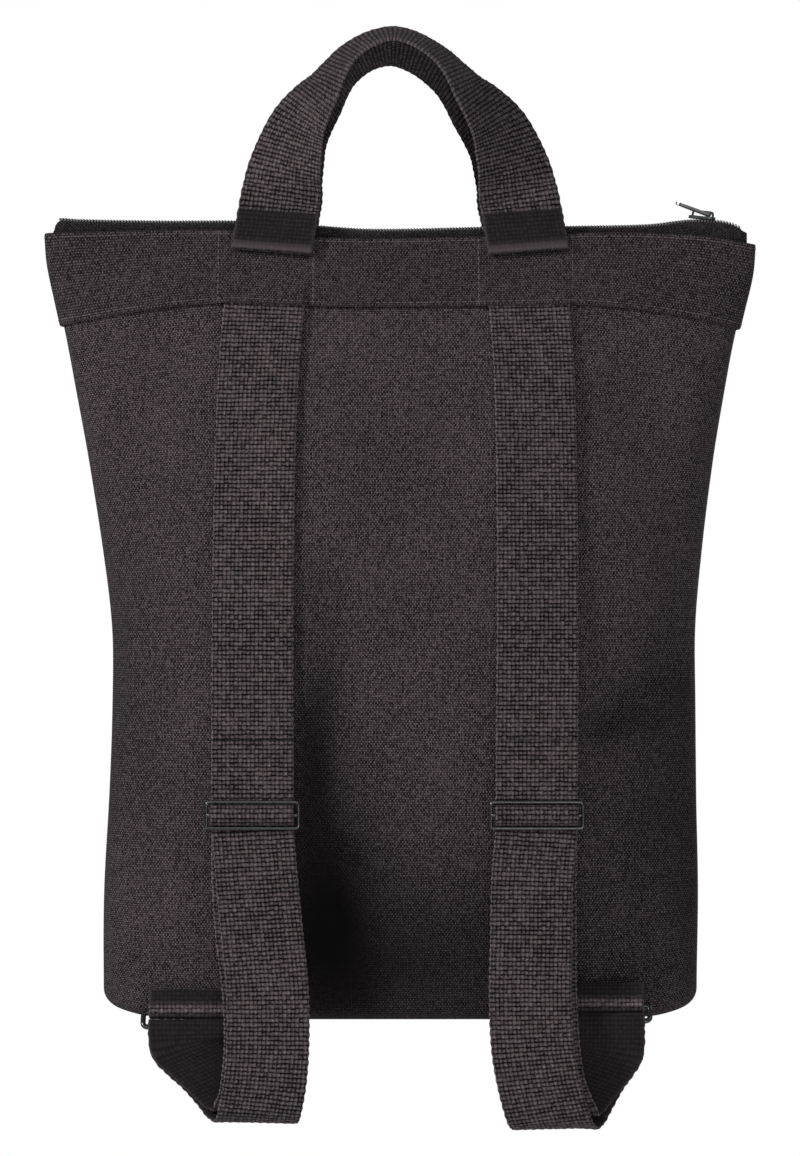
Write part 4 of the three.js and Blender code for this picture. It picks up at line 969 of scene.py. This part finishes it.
# Carry handles, and the arch's half as shares: height, way to the middle, and turn from facing out to facing up.
handles = {
    "spacing": 124.0, "rise": 103.0, "tail": 19.0, "tuck": 10.0, "part": 0.6, "splay": 9.0, "sway": 3.5,
    "tilt": {"back": 17.0, "front": 19.5}, "skew": {"back": 0.0, "front": 0.09},
}
handleArch = {
    "rise": [0.200, 0.305, 0.469, 0.551, 0.634, 0.716, 0.800, 0.875, 0.940, 0.982, 1.000],
    "reach": [0.056, 0.081, 0.155, 0.215, 0.305, 0.410, 0.505, 0.605, 0.735, 0.865, 1.000],
    "turn": [0.12, 0.28, 0.46, 0.56, 0.67, 0.78, 0.87, 0.93, 0.97, 0.99, 1.00],
}


# A handle is one path: the sewn tail, a half circle at the foot, the leg and the arch, mirrored about the middle.
# Its across direction turns from level to leaning over the mouth: cos(turn) of one plus sin(turn) of the other.
def makeHandle(name, side):
    h = handles
    centre = h["spacing"] / 2
    tilt, splay = np.radians(h["tilt"][name]), np.radians(h["splay"])
    fold = layerPitch / 2
    onBand = bandMesh["gap"] + bandMesh["wall"] + straps["rest"] + halfWeb + 0.1
    seatHeight = bag["height"] - h["tuck"]
    footX = centre + h["tuck"] * np.tan(splay)
    foot = facePoint(footX, seatHeight + fold, onBand, side)
    out = foot - facePoint(footX, seatHeight + fold, 0, side)
    out = unit(out * np.array([0, 1, 1]))
    flat = np.array([1.0, 0, 0])
    slope = np.array([0, -side * out[2], side * out[1]])
    up = slope * np.cos(splay) - flat * np.sin(splay)
    acrossFoot = flat * np.cos(splay / 2) + slope * np.sin(splay / 2)
    upright = np.array([0, 0, 1.0]) * np.cos(splay) - flat * np.sin(splay)
    # Up to the mouth's edge both layers lie along the band's slope, and above it they stand upright.
    climb = lambda heights: (up * np.minimum(heights, h["tuck"])[:, None]
                             + upright * np.maximum(heights - h["tuck"], 0)[:, None])
    tail = foot + out * layerPitch + climb(h["tail"] * np.array([1, 0.8, 0.6, 0.4, 0.2]))
    angle = np.radians(np.linspace(0, 180, 7))[:, None]
    bend = foot + out * (fold + fold * np.cos(angle)) - up * fold * np.sin(angle)
    leg = foot + climb(h["tail"] * np.array([0.2, 0.4, 0.6, 0.8, 1.05]))
    seat = leg[-1:]
    rise, reach, turn = (np.array(handleArch[key]) for key in ("rise", "reach", "turn"))
    crownDepth = side * (weave["width"] / 2 * np.cos(tilt) + h["part"])
    archRise = h["rise"] - weave["width"] / 2 * np.sin(tilt) - halfWeb
    arch = np.stack([
        centre * (1 - reach),
        seat[0, 1] + (crownDepth - seat[0, 1]) * np.sin(turn * np.pi / 2),
        bag["height"] + archRise * rise], 1)
    half = np.concatenate([tail, bend, leg, arch])
    footRows = len(tail) + len(bend) + len(leg)
    turn = np.concatenate([np.zeros(footRows), turn]) * np.pi / 2
    atFoot = np.concatenate([np.ones(footRows), np.zeros(len(arch))])
    flap = np.concatenate([np.ones(len(tail) + 3), np.zeros(len(bend) - 3 + len(leg) + len(arch))])
    # The rows round the flap's fold, which the webbing lightens as a painted highlight.
    creased = np.zeros(len(flap))
    creased[len(tail):len(tail) + 3] = 1
    mirror = np.array([-1, 1, 1])
    keys = np.concatenate([half, half[-2::-1] * mirror])
    both = lambda column: np.concatenate([column, column[-2::-1]])
    path, run = smoothPath(keys, weave["rowPitch"] / 2, both(turn), both(atFoot), both(flap), both(creased))
    points, turn = path[:, :3].copy(), path[:, 3]
    atFoot, flap, creased = np.clip(path[:, 4:5], 0, 1), np.clip(path[:, 5], 0, 1), np.clip(path[:, 6], 0, 1)
    tangents = pathTangents(points)
    rightHalf = points[:, :1] > 0
    handed = np.where(rightHalf, 1.0, -1.0)
    outward = squared(tangents, handed * flat)
    leaning = np.array([0, -side * np.cos(tilt), np.sin(tilt)])
    atTop = smoothStep(np.abs(points[:, :1]), 0, 8)
    outward = unit(outward * atTop + np.array([0, 0, 1.0]) * (1 - atTop))
    turned = outward * np.cos(turn)[:, None] + leaning * np.sin(turn)[:, None]
    across = squared(tangents, turned)
    footAcross = np.where(rightHalf, acrossFoot, acrossFoot * mirror)
    across = unit(across * (1 - atFoot) + footAcross * atFoot)
    rising = np.maximum(points[:, 2] - bag["height"], 0) / archRise
    points[:, 2] -= h["skew"][name] * points[:, 0] * rising
    points[:, 0] -= h["sway"] * rising ** 2
    low = 1 - smoothStep(points[:, 2], bag["height"] - 14, bag["height"] + 18)
    # The flaps and the handle's inner face take the plain side, darkened as painted shade.
    shadedReverse = np.maximum(flap, 0.25)
    front, back = (shadedReverse, 0.0) if side < 0 else (0.0, shadedReverse)
    piece = webbingRibbon("handle" + name.capitalize(), points, across, run, webbing, 70 + side, 1 - low,
                          plainShadedFront=front, plainShadedBack=back, edgeAndFoldLight=creased)
    return finishPiece(piece, rootBody, "webbing", "handle_" + name)


for name, side in (("back", -1), ("front", 1)):
    handle = makeHandle(name, side)
    print(handle.name, len(handle.data.polygons), "faces")


# Ring tabs: a short webbing fold from the foot of the panel, down round the ring's upper bar in a half circle.
def makeTab(side):
    name = sideName(side)
    upper = ringBars(side)[0]
    radius = straps["ringWire"] / 2 + straps["gap"] + halfWeb
    start = facePoint(
        upper[0] - side * weave["width"] / 2, straps["tabHeight"] + upper[2] - 1, straps["rest"] + halfWeb)
    start[0] = upper[0]
    front = upper + np.array([0, -radius, 1])
    run = start + (front - start) * np.array([[0.0], [0.3], [0.6]])
    angle = np.pi * (1 + np.linspace(0, 1, 9))
    wrap = np.stack([np.full(9, upper[0]), upper[1] + radius * np.cos(angle), upper[2] + radius * np.sin(angle)], 1)
    keys = np.concatenate([run, wrap, [upper + np.array([0, radius, 1.4])]])
    path, run = smoothPath(keys, weave["rowPitch"] / 4)
    across = np.tile([1.0, 0, 0], (len(path), 1))
    # The tab is darkened as painted shade, except round the ring's bar, where its fold has a painted highlight.
    fold = np.exp(-((path[:, 2] - upper[2] - 1.5) / 2.2) ** 2)
    piece = webbingRibbon("ringTab" + name.capitalize(), path, across, run, webbing, 80 + side,
                          look=dict(weave, wander=0.15), plainShadedFront=1 - fold, plainShadedBack=1 - fold, edgeAndFoldLight=0.6 * fold)
    return finishPiece(piece, rootBody, "webbing", "ring_tab_" + name)


for side in (-1, 1):
    makeTab(side)
print("ring tabs ready")


# Wire along a closed or open path: each section is a superellipse about the path, in the path's own plane.
def wireMesh(path, plane, halfWide, halfThick, square, sides, closed):
    tangents = unit(np.roll(path, -1, 0) - np.roll(path, 1, 0)) if closed else pathTangents(path)
    inPlane = unit(np.cross(tangents, plane))
    angle = np.linspace(0, 2 * np.pi, sides, endpoint=False)
    c, s = np.cos(angle), np.sin(angle)
    reach = (np.abs(c) ** square + np.abs(s) ** square) ** (-1 / square)
    return (path[:, None] + inPlane[:, None] * (halfWide * reach * c)[None, :, None]
            + np.asarray(plane)[None, None] * (halfThick * reach * s)[None, :, None])


# Rounded rectangle as a closed path of equal steps: corner arcs joined by straight sides.
def roundedLoop(width, height, radius, spacing):
    corners = []
    for cx, cz, start in ((1, 1, 0), (-1, 1, 90), (-1, -1, 180), (1, -1, 270)):
        angle = np.radians(np.linspace(start, start + 90, 9))
        corners.append(np.stack([cx * (width / 2 - radius) + radius * np.cos(angle), 0 * angle,
                                 cz * (height / 2 - radius) + radius * np.sin(angle)], 1))
    loop = np.concatenate(corners)
    loop = np.concatenate([loop, loop[:1]])
    run = np.concatenate([[0], np.cumsum(np.linalg.norm(np.diff(loop, axis=0), axis=1))])
    even = np.linspace(0, run[-1], int(run[-1] / spacing), endpoint=False)
    return np.stack([np.interp(even, run, column) for column in loop.T], 1)


# Joins grids of points into one mesh; a grid may be closed along its path, and open ones are capped.
def joinGrids(name, grids, material):
    vertices, faces, offset = [], [], 0
    for points, closed in grids:
        rows, around = points.shape[:2]
        r, c = np.meshgrid(np.arange(rows if closed else rows - 1), np.arange(around), indexing="ij")
        r, c = r.ravel(), c.ravel()
        nextR, nextC = (r + 1) % rows, (c + 1) % around
        faces.append(offset + np.stack(
            [r * around + c, nextR * around + c, nextR * around + nextC, r * around + nextC], 1))
        if not closed:
            j = np.arange(1, around - 2, 2)
            cap = np.stack([0 * j, j, j + 1, j + 2], 1)
            faces.append(offset + cap)
            faces.append(offset + (rows - 1) * around + cap[:, ::-1])
        vertices.append(points.reshape(-1, 3))
        offset += rows * around
    return meshObject(name, np.concatenate(vertices), np.concatenate(faces), None, material)


# Buckle: a rounded rectangle of wire with a straight bar across its middle.
def makeBuckle(side):
    name = sideName(side)
    _, buckleX, buckleY = strapLine(side)
    wire = straps["wire"]
    centre = np.array([buckleX, buckleY, straps["buckleHeight"]])
    loop = roundedLoop(straps["buckleWidth"] - wire, 2 * barPitch, 1.5, 0.7) + centre
    rim = wireMesh(loop, (0, 1, 0), wire / 2, wire / 2, 2.6, 14, True)
    x = np.linspace(-1, 1, 41) * (straps["buckleWidth"] / 2 - wire * 0.6)
    bar = wireMesh(np.stack([x, 0 * x, 0 * x], 1) + centre, (0, 1, 0), wire / 2, wire / 2, 2.2, 14, False)
    piece = joinGrids("strapBuckle" + name.capitalize(), [(rim, True), (bar, False)], blackMetal)
    return finishPiece(piece, rootBody, "black_metal", "strap_buckle_" + name)


# Ring: a rounded rectangle of wire in the leaning plane of its two bars.
def makeRing(side):
    name = sideName(side)
    upper, lower = ringBars(side)
    wire = straps["ringWire"]
    loop = roundedLoop(straps["ringWidth"] - wire, straps["ringPitch"], 2.2, 0.9)
    down = unit(lower - upper)
    path = (upper + lower) / 2 + loop[:, :1] * np.array([1.0, 0, 0]) - loop[:, 2:] * down
    plane = unit(np.cross([1.0, 0, 0], down))
    rim = wireMesh(path, plane, wire / 2, wire / 2, 2.1, 16, True)
    piece = joinGrids("strapRing" + name.capitalize(), [(rim, True)], blackMetal)
    return finishPiece(piece, rootBody, "black_metal", "strap_ring_" + name)


for side in (-1, 1):
    makeBuckle(side)
    makeRing(side)
print("buckles and rings ready")


# Zip: tapes, coils and slider follow one line over the mouth.
zipper = {
    "tapeWall": 0.9, "tapeInside": 12.0, "tapeBend": 1.4, "tapeLean": 1.2, "coilWidth": 2.5, "coilHeight": 2.2,
    "parting": 1.5, "pitch": 1.5, "strand": 0.42, "sliderLength": 13.6, "sliderPlace": 151.0,
    "endInset": 0.4, "startDip": 7.0, "startRun": 4.5,
    # Height of the coils' middle along the mouth.
    "runX": [-171.0, -160.0, -120.0, -80.0, -45.0, -15.0, 40.0, 90.0, 125.0, 143.0, 158.0, 166.0, 173.0],
    "runZ": [394.2, 393.4, 392.7, 392.6, 390.6, 388.6, 389.5, 390.1, 391.0, 393.1, 393.0, 391.4, 388.0],
}
zipHalfRun = bag["topWidth"] / 2 - bag["wall"] - zipper["endInset"]


# The zip's height at each place, and how far its halves have parted: a smooth step at the slider.
def zipLine(x):
    z = zipper
    parting = smoothStep(x, z["sliderPlace"] - z["sliderLength"] / 2, z["sliderPlace"] + z["sliderLength"])
    # The start drops along a quarter circle, as the tape's end is tucked down into the side seam.
    nearStart = 1 - np.clip((x + zipHalfRun) / z["startRun"], 0, 1)
    startDip = 1 - np.sqrt(np.maximum(1 - nearStart ** 2, 0))
    return readTable(z, "runX", "runZ", x) - z["startDip"] * startDip, z["parting"] * parting


# Tape: a cloth strip whose profile goes from inside the mouth up past the rim and turns in to the coil.
def makeTape(name, side):
    z = zipper
    x = np.linspace(-zipHalfRun, zipHalfRun, 320)
    height, opening = zipLine(x)
    rimHeight = bag["height"] + waveLift(x, bag["height"])
    rimShare = np.minimum(np.abs(x / (bag["topWidth"] / 2 - bag["wall"])), 0.995)
    mouthHalf = bag["depth"] * bodySections["depth"][-1] / 2 - bag["wall"]
    square = bodySections["square"][-1]
    wallFace = mouthHalf * (1 - rimShare ** square) ** (1 / square) - 0.6
    coilEdge = z["coilWidth"] * 0.6 + opening
    lay = height - z["coilHeight"] / 2 - 0.5
    wall, bend, low = z["tapeWall"], z["tapeBend"], wallFace + z["tapeLean"]
    turn = np.linspace(0, np.pi / 2, 6)
    bendX = wallFace[:, None] - bend + bend * np.cos(turn)
    bendZ = (lay + wall)[:, None] - bend + bend * np.sin(turn)
    top = np.linspace(0, 1, 6)
    flatX = bendX[:, -1:] + (coilEdge[:, None] - bendX[:, -1:]) * top
    outsideY = np.concatenate([low[:, None], wallFace[:, None], bendX, flatX[:, 1:]], 1)
    outsideZ = np.concatenate([(rimHeight - z["tapeInside"])[:, None], (rimHeight + 0.4)[:, None], bendZ,
                               (lay + wall)[:, None] + 0 * flatX[:, 1:]], 1)
    innerBendX = wallFace[:, None] - bend + (bend - wall) * np.cos(turn)
    innerBendZ = (lay + wall)[:, None] - bend + (bend - wall) * np.sin(turn)
    insideY = np.concatenate([(low - wall)[:, None], (wallFace - wall)[:, None], innerBendX, flatX[:, 1:]], 1)
    insideZ = np.concatenate([(rimHeight - z["tapeInside"])[:, None], (rimHeight - 0.4)[:, None], innerBendZ,
                              lay[:, None] + 0 * flatX[:, 1:]], 1)
    across = np.concatenate([outsideY, insideY[:, ::-1]], 1) * side
    heights = np.concatenate([outsideZ, insideZ[:, ::-1]], 1)
    points = np.stack([np.broadcast_to(x[:, None], across.shape), across, heights], -1)
    if side > 0:
        points = points[:, ::-1]
    ring = np.concatenate([points, points[:, :1]], 1)
    steps = np.linalg.norm(np.diff(ring, axis=1), axis=2)
    arc = np.concatenate([np.zeros((len(x), 1)), np.cumsum(steps, axis=1)], 1)
    quads, uv = gridFaces(len(x), points.shape[1], True, arc, np.broadcast_to(x[:, None], arc.shape))
    piece = meshObject("zipTape" + name.capitalize(), points.reshape(-1, 3), quads[:, ::-1],
                       uv.reshape(-1, 4, 2)[:, ::-1].reshape(-1, 2), tapeCloth)
    return finishPiece(piece, rootBody, "zip_tape", "zip_tape_" + name)


# Coil: one strand wound as a flattened spiral about its half of the zip's line, half a turn after its mate.
def makeCoil(name, side):
    z = zipper
    start, stop = -zipHalfRun + 3, zipHalfRun - 3
    turns = (stop - start) / z["pitch"]
    angle = np.linspace(0, 2 * np.pi * turns, int(turns * 14))
    x = start + z["pitch"] * (angle / (2 * np.pi))
    height, opening = zipLine(x)
    phase = angle + (np.pi if side > 0 else 0)
    c, s = np.cos(phase), np.sin(phase)
    halfWidth = z["coilWidth"] / 2 - z["strand"] + 0.25
    halfHeight = z["coilHeight"] / 2 - z["strand"]
    squash = (np.abs(c) ** 3 + np.abs(s) ** 3) ** (-1 / 3)
    centre = side * (z["coilWidth"] / 2 - 0.15 + opening)
    path = np.stack([x, centre + side * halfWidth * c * squash, height + halfHeight * s * squash], 1)
    tangents = pathTangents(path)
    first = squared(tangents, np.array([1.0, 0, 0]))
    second = np.cross(tangents, first)
    ringAngle = np.linspace(0, 2 * np.pi, 5, endpoint=False)
    points = path[:, None] + z["strand"] * (
        first[:, None] * np.cos(ringAngle)[None, :, None] + second[:, None] * np.sin(ringAngle)[None, :, None])
    piece = joinGrids("zipCoil" + name.capitalize(), [(points[:, ::-1], False)], coilNylon)
    return finishPiece(piece, rootBody, "zip_coil", "zip_coil_" + name)


for name, side in (("back", -1), ("front", 1)):
    makeTape(name, side)
    coil = makeCoil(name, side)
print("zip ready:", len(coil.data.polygons), "faces a strand")

for node in ("zip_slider", "zip_puller"):
    part = frame["nodes"][node]
    part.data.materials.clear()
    part.data.materials.append(blackMetal)


# Studio: soft light from the upper left, the front and behind, a pale floor well below the bag, a white surround.
studio = {
    "surround": 1.0, "ambient": 0.09, "floorHeight": -0.86, "floorRadius": 1.75,
    "cameraDistance": 1.8, "cameraHeight": -0.2742, "halfLongSide": 0.16056,
}
# Each light's place, what it points at, its width and its power.
lights = {
    "keyLight": ((-1.9, -1.2, 0.95), (0, 0, -0.2), 0.5, 42.5),
    "fillLight": ((-0.3, -2.2, 0.7), (0, 0, -0.25), 1.2, 10.5),
    "liftLight": ((0.3, -1.5, -0.8), (0, 0.02, 0), 0.6, 7.0),
    "sideLight": ((0.6, -0.75, 0.42), (0.05, 0, 0), 0.3, 1.5),
    "backLight": ((1.1, 1.8, 0.3), (0, 0, -0.2), 1.4, 16.0),
}
bpy.context.scene.view_settings.view_transform = "Standard"


# A round soft light turned towards a point.
def areaLight(name, location, target, size, power):
    light = bpy.data.lights.new(name, "AREA")
    light.shape = "DISK"
    light.size = size
    light.energy = power
    lamp = bpy.data.objects.new(name, light)
    aim = Vector(target) - Vector(location)
    lamp.rotation_euler = aim.to_track_quat("-Z", "Y").to_euler()
    lamp.location = location
    bpy.context.collection.objects.link(lamp)


for name, settings in lights.items():
    areaLight(name, *settings)

# The surround looks white and lights the bag more weakly than it looks.
world = bpy.data.worlds.new("paleStudio")
world.use_nodes = True
surround = world.node_tree.nodes["Background"]
surround.inputs["Color"].default_value = (1, 1, 1, 1)
seen = world.node_tree.nodes.new("ShaderNodeLightPath")
strength = maths(world.node_tree, "MULTIPLY_ADD", seen.outputs["Is Camera Ray"],
                 studio["surround"] - studio["ambient"], studio["ambient"])
world.node_tree.links.new(strength, surround.inputs["Strength"])
bpy.context.scene.world = world

angle = np.linspace(0, 2 * np.pi, 64, endpoint=False)
floorRim = np.stack([np.cos(angle) * studio["floorRadius"], np.sin(angle) * studio["floorRadius"],
                     np.full(len(angle), studio["floorHeight"])], 1)
floorMesh = bpy.data.meshes.new("studioFloor")
floorMesh.from_pydata(floorRim.tolist(), [], [list(range(len(angle)))])
floorObject = bpy.data.objects.new("studioFloor", floorMesh)
bpy.context.collection.objects.link(floorObject)
floorMaterial, _, floorShader = newMaterial("paleFloor", 0.9, specular=0.0)
floorShader.inputs["Base Color"].default_value = (0.93, 0.93, 0.93, 1)
floorMesh.materials.append(floorMaterial)
floorObject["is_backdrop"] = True

cameraData = bpy.data.cameras.new("photoCamera")
cameraData.lens = cameraData.sensor_width / 2 / studio["halfLongSide"]
camera = bpy.data.objects.new("photoCamera", cameraData)
camera.location = (0, -studio["cameraDistance"], studio["cameraHeight"])
camera.rotation_euler = (np.pi / 2, 0, 0)
bpy.context.collection.objects.link(camera)
bpy.context.scene.camera = camera

{"cad": loadedBox, "visual": [list(corner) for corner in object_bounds()]}
print("scene ready")
